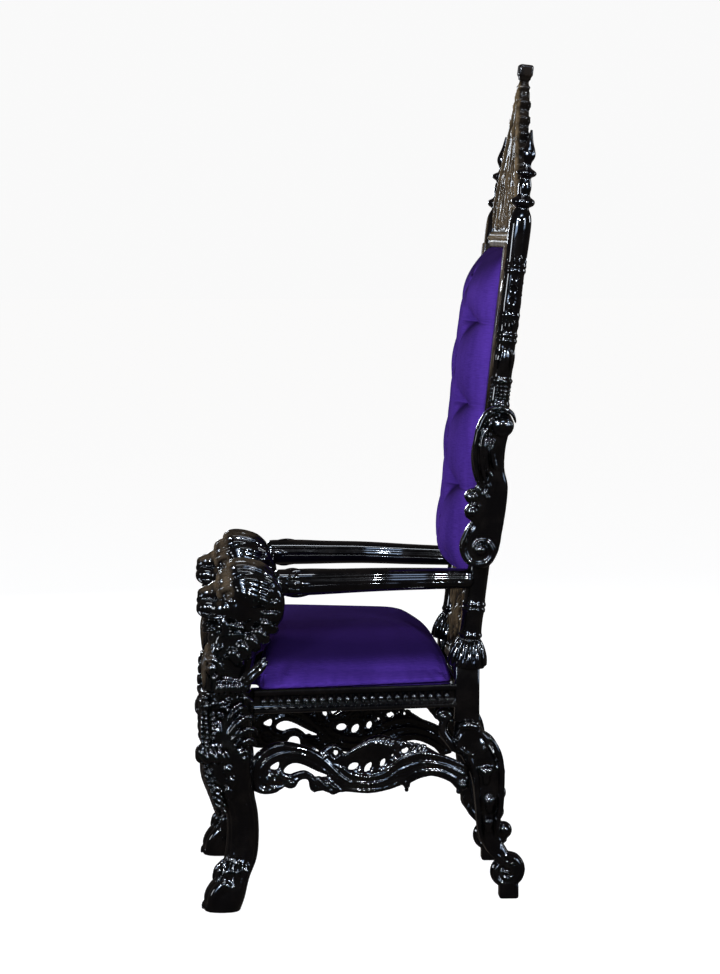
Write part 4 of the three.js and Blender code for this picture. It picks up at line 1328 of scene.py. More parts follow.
@dataclass
class ArmRail:
    """The left arm rail: a rounded bar, a hollowed moulding and a leaf collar at the lion's back."""

    front: tuple[float, float] = (30.0, 29.0)
    rear: tuple[float, float] = (23.0, 22.0)

    def route(self) -> Array:
        """The rail's middle line, bowing inwards to the stile."""
        x, y, _ = LINES.lion
        return spline([(x, y + 62, 716), (x - 8, y + 142, 716), (x - 33, y + 282, 718),
            (x - 67, y + 402, 716), (x - 86, LINES.back_y + 14, 714)], 80)

    def build(self, shop: Workshop) -> None:
        """Sweeps the bar, adds its leaves and rounds, and dresses both arms."""
        path = self.route()
        count, sides = len(path), 52
        phi = angles(sides)
        t = np.linspace(0, 1, count)[:, None]
        belly = 1 + 0.07 * np.exp(-(((t - 0.18) / 0.1) ** 2)) * (np.sin(phi) < 0)
        cove = 1 - 0.10 * np.exp(-(((np.abs(np.cos(phi)) - 0.96) / 0.035) ** 2)) * (np.sin(phi) < 0.2)
        wide = (self.front[0] + (self.rear[0] - self.front[0]) * t) * cove * belly
        deep = (self.front[1] + (self.rear[1] - self.front[1]) * t) * cove * belly
        shells = [sweep(path, wide, deep, (1, 0, 0), sides, box=0.86, blunt=14)]
        for side in (-1, 1):
            edge = path + np.concatenate([side * 0.93 * (self.front[0] - 7.5 * t), 0 * t, -6 + 0 * t], axis=1)
            shells.append(sweep(edge[6:-3], along((2.6, 2.2), count - 9), along((2.6, 2.2), count - 9),
                (1, 0, 0), 10))
        start = path[4]
        for k in range(10):
            turn = 2 * math.pi * k / 10
            cos, sin = math.cos(turn), math.sin(turn)
            length = 64 if k % 2 == 0 else 46
            foot = start + [25 * cos, 0, 25 * sin]
            shells.append(leaf([tuple(foot), tuple(foot + [3 * cos, 0.5 * length, 3 * sin]),
                tuple(foot + [-2 * cos - 3, length, -2 * sin])], 10, 4, (-sin, 0, cos), 1, 22, 12))
        left = shop.mesh("moulded_arm_left", merged(shells))
        shop.finish_pair(left, Slot.LACQUER, "arm_rail")


# ---- seat rails ----


@dataclass
class SeatRail:
    """Moulded seat rails with a row of beads in a cove."""

    half_thick: float = 22.0
    pitch: float = 18.6
    bead: float = 6.0

    def profile(self) -> Array:
        """The moulding's section as (y, z): fillet, ogee, a cove for the beads, bead and fillet."""
        t = self.half_thick
        height = LINES.rail_top - LINES.rail_bottom
        face = [(-t + 3, 0), (-t + 0.6, 1), (-t, 4), (-t + 1, 8), (-t + 5, 10.5), (-t + 7, 13),
            (-t + 9.5, 20), (-t + 9.5, 30), (-t + 6, 36), (-t + 4.5, 38), (-t + 2, 39), (-t, 42), (-t, 46),
            (-t + 1.2, 50), (-t + 4, height)]
        back = [(t - 1, height), (t, height - 1), (t, 1), (t - 1, 0)]
        return np.array(face + back)

    def bar(self, length: float) -> Shell:
        """The moulding carried along +X from 0 to a length, its face at -Y."""
        section = self.profile()
        stations = np.array([0, 0.02, 0.98, 1])[:, None] * length
        rings = np.stack([np.repeat(stations, len(section), 1), np.tile(section[:, 0], (4, 1)),
                          np.tile(section[:, 1], (4, 1))], axis=-1)
        return ringed(rings[:, ::-1])

    def row(self, start: float, end: float) -> list[Shell]:
        """The beads between two stations."""
        count = int((end - start) / self.pitch)
        first = start + ((end - start) - (count - 1) * self.pitch) / 2
        return [ball((first + k * self.pitch, -self.half_thick + 5.5, 25), (7.4, self.bead, self.bead + 1.0),
            20) for k in range(count)]

    def build(self, shop: Workshop) -> None:
        """Builds the side rails, the front rail and the plain back rail."""
        run = LINES.back_y - LINES.back_half - LINES.side_front_y
        length = run / math.cos(LINES.side_angle)
        shells = [self.bar(length), *self.row(8, length - 8)]
        placed = plane_to(LINES.side() @ shift(0, 0, LINES.rail_bottom), shells)
        left = shop.mesh("beaded_side_rail_left", merged(placed))
        keep_edges_sharp(left)
        shop.finish_pair(left, Slot.LACQUER, "seat_rail")
        wide = 2 * (LINES.post_x - LINES.post_half) + 26
        front = plane_to(shift(-wide / 2, LINES.post_y - 14, LINES.rail_bottom),
            [self.bar(wide), *self.row(20, wide - 20)])
        piece = shop.mesh("beaded_front_rail", merged(front))
        keep_edges_sharp(piece)
        shop.finish(piece, Slot.LACQUER, ["seat_rail_front"])
        half = LINES.back_x - LINES.back_half - 0.3
        back = block((-half, LINES.back_y - 22, LINES.rail_bottom),
            (half, LINES.back_y + 22, LINES.rail_top), 4)
        shop.finish(shop.mesh("plain_back_rail", back), Slot.LACQUER, ["seat_rail_back"])


def keep_edges_sharp(piece: bpy.types.Object, angle: float = 0.6) -> None:
    """Splits shading at sharp edges, so flat faces stay flat beside round ones."""
    piece.data.set_sharp_from_angle(angle=angle)


# ---- aprons ----


@dataclass
class SideApron:
    """The left side apron: a pierced board, a ribbed C-scroll, a fluted shell and a moulded arch."""

    deep: float = 9.0
    voxel: float = 2.0

    def board(self) -> Shell:
        """The pierced ground: a lower line from post to leg, and an upper line back again."""
        lower = spline(np.array([(-6, 264), (22, 254), (50, 256), (66, 268), (78, 264), (92, 266),
            (104, 281), (122, 280), (130, 256), (160, 256), (176, 246), (200, 252), (256, 246), (300, 252),
            (334, 262), (342, 256), (352, 266), (377, 276), (405, 278), (440, 264), (460, 246), (484, 250)]),
            170)
        upper = spline(np.array([(484, 300), (460, 310), (420, 326), (384, 346), (350, 352), (328, 358),
            (306, 368), (280, 374), (249, 363), (222, 344), (204, 336), (186, 356), (164, 352), (146, 342),
            (119, 355), (78, 366), (44, 364), (14, 348), (-6, 326)]), 150)
        holes = [closed([(37, 311), (46, 319), (58, 323), (56, 308), (46, 306)]),
            closed([(70, 299), (72, 311), (90, 319), (112, 314), (140, 300), (168, 287), (140, 287),
                (104, 291)]), lens(134, 350, 5, 4), lens(185, 340, 7, 8), lens(223, 307, 13, 8, 0.3),
            lens(256, 304, 13, 7, 0.9), lens(289, 313, 10, 6, 1.1), lens(339, 338, 9, 7, 0.2),
            lens(366, 343, 10, 6, -0.3), lens(290, 337, 3.5, 3.5), lens(311, 328, 3.5, 3.5)]
        return Board(np.concatenate([lower, upper]), holes, self.deep, 8, 0.45, 0.10, 7.6, 1.9).shell()

    def scrolls(self) -> list[Shell]:
        """The ribs that sweep from the volute by the post over the open lens and down into the lip."""
        deep = self.deep
        return [
            ribbon([(58, 286), (50, 296), (36, 292), (32, 278), (44, 266), (62, 268), (66, 276)],
                (3, 5, 6, 6, 6, 5, 3), deep + 2, 0, 1, 60),
            ribbon([(62, 268), (40, 260), (14, 264), (4, 284), (8, 318), (28, 345), (60, 356), (100, 351),
                (134, 338), (166, 312), (196, 284), (226, 266)], (5, 7, 9, 10, 9, 8, 7, 7, 7, 6, 5, 3),
                deep + 3, 0, 1, 140),
            ribbon([(26, 300), (30, 322), (44, 335), (71, 342), (105, 338), (138, 326), (168, 304),
                (196, 280)], (3, 4.5, 5, 5, 5, 5, 4, 2), deep + 2, 0, 1, 110),
            ribbon([(62, 318), (84, 328), (108, 327), (136, 314), (164, 296), (192, 276)],
                (2.5, 4.5, 5, 5, 4, 2), deep + 2, 0, 0, 90),
            ribbon([(12, 280), (18, 312), (36, 332), (62, 342)], (2, 3, 3, 2), deep + 4, 0, 0, 70),
            pearl(44, 283, 10, 4),
            ribbon(coil(84, 276, 9, 3, 0.1, -1.0, 7)[::-1] + [(84, 288), (96, 294), (116, 297), (134, 286)],
                (3, 5, 5, 5, 4), deep + 1, 0, 1, 70),
            pearl(84, 276, 9, 4),
            frond([(122, 294), (132, 280), (138, 262), (134, 252)], 11, deep, 3, 2),
            frond([(140, 288), (152, 274), (166, 260), (178, 246)], 12, deep, 4, 3),
            frond([(158, 282), (174, 268), (188, 258), (204, 252)], 11, deep, 3, 3),
            pearl(150, 262, 6, 5), pearl(170, 268, 6, 6), pearl(188, 262, 5, 5),
            ribbon(coil(181, 338, 13, 13, 0.35, -0.85, 9), (4, 5, 5, 4), deep + 1, 0, 1, 60),
            frond([(150, 322), (160, 334), (160, 350)], 7, deep - 1, 3, 2),
            frond([(192, 318), (198, 330), (196, 344)], 6, deep - 1, 3, 2),
            ribbon([(154, 330), (172, 316), (190, 306), (206, 290)], (3, 4, 4, 2), deep + 2, 0, 0),
        ]

    def flutes(self) -> list[Shell]:
        """The shell: curved flutes side by side, each from the lip up and backwards to the upper edge."""
        shells = []
        for k in range(10):
            share = k / 9
            u0, v0 = 204 + 92 * share, 311 + 10 * math.sin(math.pi * share) + 6 * share
            u1 = 212 + 98 * share
            v1 = 330 + 44 * math.sin(math.pi * (0.08 + 0.62 * share)) ** 0.9
            mid = ((u0 + u1) / 2 - 3 + 5 * share, (v0 + v1) / 2 + 6)
            points = [(u0, -7, v0), (mid[0], -13, mid[1]), (u1 + 6, -8, v1 - 2)]
            shells.append(strand(points, (2.5, 4.4, 3.6), (3, 5.5, 4), (0, 1, 0), 14, 34, blunt=2))
        return shells

    def lip(self) -> list[Shell]:
        """The mouldings along the lip and the arch, the pendant, the corner rosette and the pearls."""
        deep = self.deep
        shells = [
            ribbon([(190, 312), (214, 292), (256, 283), (290, 289), (311, 306), (334, 321), (377, 330),
                (422, 321), (464, 303), (484, 292)], (4, 5, 5, 5, 5, 5, 5, 5), deep + 3, 0, 1, 130),
            ribbon([(212, 274), (256, 268), (292, 274), (322, 292), (352, 305), (388, 310), (430, 300),
                (480, 276)], (3, 4, 4, 4, 4, 4, 3), deep + 3, 0, 0, 120),
            ribbon([(196, 256), (256, 253), (300, 258), (330, 272), (356, 286), (388, 292), (426, 286),
                (466, 262)], (3, 4, 4, 4, 4, 4, 4, 3), deep + 2, 0, 0, 120),
            pearl(343, 261, 8, 1), pearl(343, 250, 5, 0),
            frond([(330, 276), (336, 266), (344, 256)], 7, deep - 2, 3, 1),
            pearl(468, 256, 11, 6), pearl(461, 243, 7, 3), pearl(476, 270, 6, 5), pearl(455, 262, 5, 6),
        ]
        for k in range(6):
            u, v = 306 + 14.5 * k, 366 - 3.2 * k
            shells.append(pearl(u, v - 4, 5.4, 4))
            shells.append(frond([(u - 2, v - 18), (u + 2, v - 10), (u + 8, v)], 5.5, deep - 3, 4, 1))
        for k in range(5):
            shells.append(pearl(298 + 15 * k, 334 + 2.5 * math.sin(1.8 * k), 4, 6))
        return shells

    def build(self, shop: Workshop) -> None:
        """Fuses the left apron, mirrors it and dresses both."""
        shells = [self.board(), *self.scrolls(), *self.flutes(), *self.lip()]
        left = shop.fuse("scrolled_side_apron_left", plane_to(LINES.side(), shells), self.voxel, 2, 0.5)
        shop.finish_pair(left, Slot.LACQUER, "side_apron")


@dataclass
class FrontApron:
    """The front apron: mirrored C-scrolls that meet under a fluted shell."""

    deep: float = 11.0
    voxel: float = 2.2

    def half(self) -> list[Shell]:
        """The carving left of the middle, in its plane."""
        deep = self.deep
        big = coil(234, 276, 9, 24, 0.35, 0.72, 7) + [(270, 312), (250, 344), (206, 356), (160, 342),
            (118, 308), (76, 276), (30, 258)]
        return [
            ribbon(big, (5, 9, 12, 13, 13, 11, 9), deep, 3, 3, 110),
            ribbon([(240, 316), (212, 332), (178, 326), (144, 302), (112, 282)], (4, 7, 7, 4), deep - 2, 2),
            pearl(234, 276, 11, 5),
            ribbon(coil(188, 272, 11, 4, 0.3, 1.1, 8)[::-1] + [(174, 288), (150, 288), (120, 270), (84, 258)],
                   (3, 6, 7, 6), deep - 1, 2, 2),
            pearl(188, 272, 7, 4),
            frond([(146, 284), (132, 266), (112, 256)], 11, deep, 2, 3),
            ribbon(coil(146, 366, 13, 5, 0.5, -1.2, 9)[::-1] + [(128, 372), (98, 382), (66, 366), (50, 336)],
                   (3, 6, 7, 8, 6), deep - 1, 2, 2),
            frond([(198, 352), (172, 370), (150, 378)], 12, deep - 2, 2, 3),
            frond([(96, 330), (84, 354), (92, 378)], 13, deep - 2, 2, 3),
            frond([(264, 330), (276, 304), (284, 276)], 12, deep - 2, 1, 3),
            ribbon([(66, 266), (96, 292), (92, 326), (66, 344)], (6, 7, 7, 5), deep - 1, 2, 2),
        ]

    def shell(self) -> list[Shell]:
        """The shell in the middle: flutes that fan up from its hinge, with a drop below."""
        shells = []
        for angle in np.radians(np.linspace(-16, 196, 15)):
            tip = (66 * math.cos(angle), 332 + 66 * math.sin(angle))
            shells.append(frond([(8 * math.cos(angle), 306), (0.6 * tip[0], 306 + 0.55 * (tip[1] - 306)),
                tip], 9.5, self.deep + 2, 6, 1, 1.3))
        shells.append(ball((0, -12, 304), (20, 12, 16)))
        shells.append(frond([(0, 300), (0, 268), (0, 242)], 26, self.deep + 2, 4, 3))
        return shells

    def build(self, shop: Workshop) -> None:
        """Fuses and dresses the apron."""
        half = self.half()
        place = shift(0, LINES.post_y - 14, 0)
        edge = np.array([(0, 238), (36, 262), (66, 254), (100, 272), (128, 262), (150, 284), (186, 268),
            (206, 252), (240, 248), (290, 262), (290, 318), (256, 350), (214, 368), (168, 362), (146, 376),
            (104, 384), (70, 372), (48, 396), (0, 406)], float)
        line = spline(edge, 160)
        holes = [lens(226, 318, 16, 9, 0.3), lens(184, 318, 12, 8, 0.2), lens(136, 338, 14, 8, -0.4),
                 lens(124, 298, 13, 8, 0.5), lens(86, 330, 9, 13, 0.1)]
        board = mirrored_board(line, holes, 8.5, 0.10, 7.6, 2.0)
        shells = plane_to(place, [board, *half, *[s.mirrored() for s in half], *self.shell()])
        piece = shop.fuse("scrolled_front_apron", shells, self.voxel, 1, 0.56)
        shop.finish(piece, Slot.LACQUER, ["front_apron"])


@dataclass
class BackApron:
    """The plain arched board under the back rail."""

    thick: float = 22.0
    spring: float = 352.0
    crown: float = 402.0

    def build(self, shop: Workshop) -> None:
        """Builds the board as rings carried across: its lower edge follows a flat arch."""
        half = LINES.back_x - 35
        x = np.linspace(-half, half, 60)[:, None]
        lower = self.spring + (self.crown - self.spring) * (1 - np.abs(x / half) ** 3)
        y0, y1, top = LINES.back_y - self.thick / 2, LINES.back_y + self.thick / 2, LINES.rail_bottom - 0.3
        corners = [(y0, 1.5), (y0 + 1.5, 0), (y1 - 1.5, 0), (y1, 1.5), (y1, -1), (y0, -1)]
        rings = np.stack([np.concatenate([x, np.full_like(x, y),
            lower + drop if drop >= 0 else np.full_like(x, top)], axis=1) for y, drop in corners], axis=1)
        piece = shop.mesh("arched_back_apron", ringed(rings[:, ::-1]))
        keep_edges_sharp(piece)
        shop.finish(piece, Slot.LACQUER, ["back_apron"])


# ---- back legs ----


@dataclass
class RearLeg:
    """The left back leg: capped volute, calf with hanging husks, pearl and ribbed scroll foot."""

    voxel: float = 2.1

    def shells(self) -> list[Shell]:
        """The leg's parts in place."""
        x, y = LINES.back_x, LINES.back_y
        top = LINES.block_bottom - 1
        sections = np.array([[top, x, 27, y + 1, 27], [378, x, 30, y + 4, 33], [346, x, 31, y + 14, 41],
            [316, x - 2, 30, y + 30, 40], [284, x - 4, 29, y + 43, 36], [248, x - 6, 27, y + 48, 32],
            [206, x - 9, 25, y + 49, 28], [168, x - 11, 23, y + 48, 24], [134, x - 12, 22, y + 52, 22],
            [104, x - 14, 20, y + 70, 22]])
        shells = [limb(sections, 90, 64, 0.82)]
        cap = (26, 31, 31, 26)
        shells.append(strand([(x - 33, y + 2, 366), (x, y + 2, 368), (x + 33, y + 2, 366)], cap, cap,
            (0, 0, 1), 40, 40, blunt=3))
        for side in (-1, 1):
            face = x + 26 * side
            volute = [(36, 330), (44, 352), (34, 372), (8, 378), (-14, 366), (-18, 344), (-2, 330), (16, 326)]
            radii = (3, 5, 5.5, 5, 5, 5, 4, 3)
            shells.append(strand([(face + 3 * side, y + v, z) for v, z in volute], radii, radii, (1, 0, 0),
                16, 80))
            shells.append(tube([(face + 2 * side, y - 22, 388), (face + 7 * side, y + 2, 392),
                (face + 4 * side, y + 28, 386)], (6, 10, 7), 30, 18))
            front_edge = [(16, 352), (4, 330), (12, 306), (20, 280), (22, 248), (26, 206), (28, 168),
                (34, 134)]
            back_edge = [(30, 376), (56, 356), (70, 326), (76, 290), (76, 248), (74, 206), (68, 172),
                (70, 140)]
            for route, radius in ((front_edge, 6.0), (back_edge, 7.0)):
                points = [(face + (2 - 0.05 * (376 - z)) * side, y + v, z) for v, z in route]
                radii = (3, radius, radius, radius, 4)
                shells.append(strand(points, radii, radii, (1, 0, 0), 14, 90))
            for rise, back, size, long in ((290, 42, 19, 56), (224, 50, 16, 52), (176, 48, 11, 34)):
                drop = -0.05 * (376 - rise)
                for lean, width in ((-0.6, 7), (0.6, 7), (0, 9)):
                    shells.append(leaf([(face + (drop + 1) * side, y + back - 0.5 * size * lean,
                        rise - 0.5 * long), (face + (drop + 8) * side, y + back + 0.6 * size * lean, rise),
                        (face + (drop + 6) * side, y + back + 1.5 * size * lean,
                            rise + 0.24 * long * (1 - 0.7 * abs(lean)))], width, 6, (0, 1, 0), 0.01, 34, 20,
                        1.2))
                shells.append(ball((face + (drop + 3) * side, y + back, rise - 0.34 * long), (7, 8, 12), 20))
        for rise, back, size in ((330, 62, 24), (286, 76, 24), (240, 78, 22), (198, 74, 19)):
            for lean in (-0.55, 0.55, 0):
                shells.append(leaf([(x - 4, y + back - 10, rise + 20),
                    (x - 5 + 0.8 * size * lean, y + back + 3, rise),
                    (x - 7 + 1.6 * size * lean, y + back - 4, rise - 28 * (1 - 0.5 * abs(lean)))], 10, 6,
                    (1, 0, 0), 1, 34, 20, 0.8))
        shells += self.foot()
        shells += self.bracket()
        return shells

    def foot(self) -> list[Shell]:
        """The scroll foot on its pad, with the pearl above it."""
        x, y = LINES.back_x, LINES.back_y
        route = [(y + 52, 128), (y + 76, 112)] + coil(y + 90, 59, 36, 9, 0.27, -1.12, 12)
        count = 90
        phi = angles(36)
        wide = along((19, 22, 22, 18, 12), count)
        deep = along((9, 11, 11, 10, 6), count) * (1 + 0.20 * np.cos(3 * math.pi * np.cos(phi)))
        path = spline([(x - 16, a, b) for a, b in route], count)
        ribs = []
        for side in (-1, 1):
            scroll = [(y + 50, 148), (y + 74, 126)] + coil(y + 90, 59, 34, 6, 0.24, -2.1, 26)
            ribs.append(tube([(x - 16 + 15 * side, a, b) for a, b in scroll], (3, 5.5, 6, 6, 5.5, 5), 200,
                16))
            for inset in (11, 21):
                arc = [(y + 46 - 0.4 * inset, 140 - 0.5 * inset), (y + 64 - 0.4 * inset, 112 - 0.4 * inset)]
                arc += coil(y + 90, 59, 34 - inset, 30 - inset, 0.26, -0.3, 5)
                ribs.append(tube([(x - 16 + 18 * side, a, b) for a, b in arc], (2.5, 4.5, 4.5, 3), 60, 14))
        return [
            *ribs,
            sweep(path, wide, deep, (1, 0, 0), 36, box=0.75),
            ball((x - 16, y + 90, 59), (14, 36, 36), 40),
            tube([(x - 16, y + 44, 150), (x - 16, y + 62, 118), (x - 16, y + 88, 88)], (19, 20, 16), 30, 24),
            ball((x - 16, y + 90, 59), (24, 9, 9)),
            ball((x - 13, y + 83, 152), (19, 20, 20)),
            tube([(x - 13, y + 60, 136), (x - 13, y + 72, 132), (x - 13, y + 92, 134)], (14, 13, 8)),
            leaf([(x - 12, y + 38, 172), (x - 12, y + 34, 140), (x - 14, y + 60, 112),
                (x - 15, y + 88, 104)], 21, 7, (1, 0, 0), 4),
            block((x - 36, y + 74, 0), (x + 4, y + 117, 34), 4),
        ]

    def bracket(self) -> list[Shell]:
        """The small leaf scroll between the side rail and the leg's cap."""
        x, y = LINES.back_x + 2, LINES.back_y
        route = [(-24, 330), (-36, 352), (-52, 376), (-48, 400)] + coil(-52, 408, 14, 5, 0.0, 0.9, 7)
        return [
            strand([(x, y + v, z) for v, z in route], (15, 16, 14, 10), (8, 10, 10, 5), (1, 0, 0), 20, 60,
                box=0.8),
            ball((x, y - 52, 408), (16, 8, 8)),
            leaf([(x, y - 10, 322), (x, y - 32, 344), (x, y - 62, 372)], 15, 7, (1, 0, 0), 3),
        ]

    def build(self, shop: Workshop) -> None:
        """Fuses the left leg, mirrors it and dresses both."""
        left = shop.fuse("scrolled_rear_leg_left", self.shells(), self.voxel, 2, 0.48)
        flatten(left)
        shop.finish_pair(left, Slot.LACQUER, "rear_leg")


# ---- stiles ----


@dataclass
class Stile:
    """The left stile: a square block, a bell of leaves, turned and carved lengths, and a finial."""

    bell_radius: float = 41.0

    def turning(self) -> Shell:
        """The plain turning from the bell to the tip, as radius against height above the floor."""
        knots = np.array([[22, 566], [22, 583], [26, 587], [26, 592], [23, 596], [23, 640], [26, 643],
            [26, 649], [23, 652], [26, 655], [26, 660], [23, 664], [23, 690], [24, 780], [24, 1000],
            [24, 1088], [25, 1092], [25, 1099], [22, 1102], [22, 1142], [25, 1146], [25, 1150], [21, 1154],
            [21, 1160], [23, 1190], [21, 1222], [21, 1228], [24, 1232], [24, 1237], [21, 1240], [24, 1244],
            [24, 1249], [21, 1252], [21, 1262], [23, 1286], [24, 1291], [22, 1295], [22, 1302], [23, 1316],
            [22, 1328], [22, 1340], [22, 1376], [22, 1380], [24.5, 1383], [24.5, 1388], [23, 1391],
            [24.5, 1394], [24.5, 1399], [22.5, 1402], [23, 1412], [24, 1440], [24.5, 1480], [23, 1502],
            [16, 1517], [13, 1522], [22, 1526], [25, 1530], [26, 1535], [24, 1540], [14, 1545], [13, 1552],
            [15, 1564], [13, 1578], [10, 1586], [19, 1590], [22, 1594], [22, 1598], [18, 1602], [9, 1606],
            [8, 1612], [8, 1618], [14, 1628], [15.5, 1636], [12.5, 1648], [7.5, 1660], [4.5, 1676],
            [2, 1690]])
        fine = np.linspace(0, len(knots) - 1, 320)
        profile = np.stack([np.interp(fine, np.arange(len(knots)), knots[:, k]) for k in (0, 1)], axis=-1)
        soft = np.stack([np.convolve(np.pad(profile[:, k], 2, mode="edge"), [0.15, 0.22, 0.26, 0.22, 0.15],
            "valid") for k in (0, 1)], axis=-1)
        stretch = self.stretch()
        soft[:, 1] = (soft[:, 1] - LINES.stile_base[2]) * stretch
        onion = np.clip(1 - np.abs(soft[:, 1:] / stretch + LINES.stile_base[2] - 1634) / 26, 0, 1) * 0.12
        column = np.clip(1 - np.abs(soft[:, 1:] / stretch + LINES.stile_base[2] - 1440) / 70, 0,
            1) ** 0.3 * 0.02
        return lathe(soft, 40, onion + column, 16)

    def stretch(self) -> float:
        """Length along the raked stile for each millimetre of height."""
        run = np.linalg.norm(np.subtract(LINES.stile_top, LINES.stile_base))
        return float(run / (LINES.stile_top[2] - LINES.stile_base[2]))

    def bell(self) -> list[Shell]:
        """The bell of pleated leaves that hangs over the square block."""
        shells = []
        for k in range(24):
            turn = 2 * math.pi * k / 24
            cos, sin = math.cos(turn), math.sin(turn)
            outer, low = (self.bell_radius, 3) if k % 2 == 0 else (self.bell_radius - 4, 14)
            wide = (2.6, 5.2, 6.4, 5.5) if k % 2 == 0 else (2, 3.6, 4.4, 3.4)
            points = [(out * cos, out * sin, z) for out, z in ((20, 64), (29, 47), (0.9 * outer, 25),
                (outer, low))]
            shells.append(strand(points, wide, (2.4, 4.4, 5, 4), (-sin, cos, 0), 12, 18, blunt=3))
        core = np.array([[20, 66], [23, 60], [29, 48], [35, 30], [39, 12], [40, 4], [38, 0], [34, -1]], float)
        shells.append(lathe(core, 40))
        return shells

    def carving(self) -> list[Shell]:
        """Pearls, crossed ribbons, leaves and hanging hearts, repeated on four sides."""
        base = LINES.stile_base[2]
        shells = []
        for quarter in range(4):
            turn = rotation("z", quarter * math.pi / 2)
            local = []
            for row in range(5):
                local += [ball((21, side, 1106 + 8.6 * row - base), (4.2, 4.2, 3.8), 10)
                    for side in (-9, 0, 9)]
            local.append(leaf([(19, 0, 1226 - base), (20.5, 0, 1200 - base), (19, 0, 1158 - base)], 11, 4.5,
                (0, 1, 0), 0.01, 28, 16))
            local += [leaf([(19, 8 * k, 1226 - base), (19, 14 * k, 1206 - base), (17, 15 * k, 1176 - base)],
                5, 4, (0, 1, 0), 1, 18, 12) for k in (-1, 1)]
            for low, high in ((1300, 1326), (1326, 1352), (1352, 1378)):
                for k in (-1, 1):
                    local.append(tube([(19.5, 9 * k, low - base), (22.4, 0, (low + high) / 2 - base),
                        (19.5, -9 * k, high - base)], (2.4, 3.0, 2.4), 14, 8))
            for k in (-1, 0, 1):
                local.append(leaf([(19 - 2 * abs(k), 8 * k, 1290 - base),
                    (21 - 2 * abs(k), 8 * k, 1274 - base), (19 - 2 * abs(k), 8 * k, 1254 - base)], 4.5, 4,
                    (0, 1, 0), 0.01, 18, 12))
            local += [leaf([(20, 9 * k, 1400 - base), (21.5 - abs(k), 8 * k, 1414 - base),
                (20, 7 * k, 1430 - base)], 5, 4, (0, 1, 0), 0.01, 18, 12) for k in (-1, 0, 1)]
            flush = shift(-2.5 if quarter % 2 else 0, 0, 0)
            shells += [shell.moved(turn @ flush) for shell in local]
        return shells

    def spine(self) -> list[Shell]:
        """The flat frame member that the turned lengths stand against, between the ear and the shoulder."""
        base = LINES.stile_base[2]
        return [block((-30, -28, 980 - base), (0, 22, 1447 - base), 3)]

    def brown(self, points: Array) -> Array:
        """The flat member's front edge gets painted brown, for wear and for a painted warm reflection."""
        local = (points - LINES.stile_base) @ LINES.stile()[:3, :3]
        return np.clip((-20.5 - local[:, 1]) / 2, 0, 1) * (np.abs(local[:, 0] + 15) < 16) * (
            np.abs(local[:, 2] - 776) < 240)

    def build(self, shop: Workshop) -> None:
        """Assembles the left stile, mirrors it and dresses both."""
        x, y, half = LINES.back_x, LINES.back_y, LINES.back_half
        foot = block((x - half, y - half, LINES.block_bottom), (x + half, y + half, LINES.stile_base[2] + 7),
            3)
        raked = [shell.moved(LINES.stile()) for shell in [self.turning(), *self.bell(), *self.carving(),
            *self.spine()]]
        left = shop.mesh("turned_stile_left", merged([foot, *raked]))
        shop.mark_wear_and_sheen(left, self.brown)
        keep_edges_sharp(left, 0.7)
        shop.finish_pair(left, Slot.LACQUER, "back_stile")


# ---- ears ----


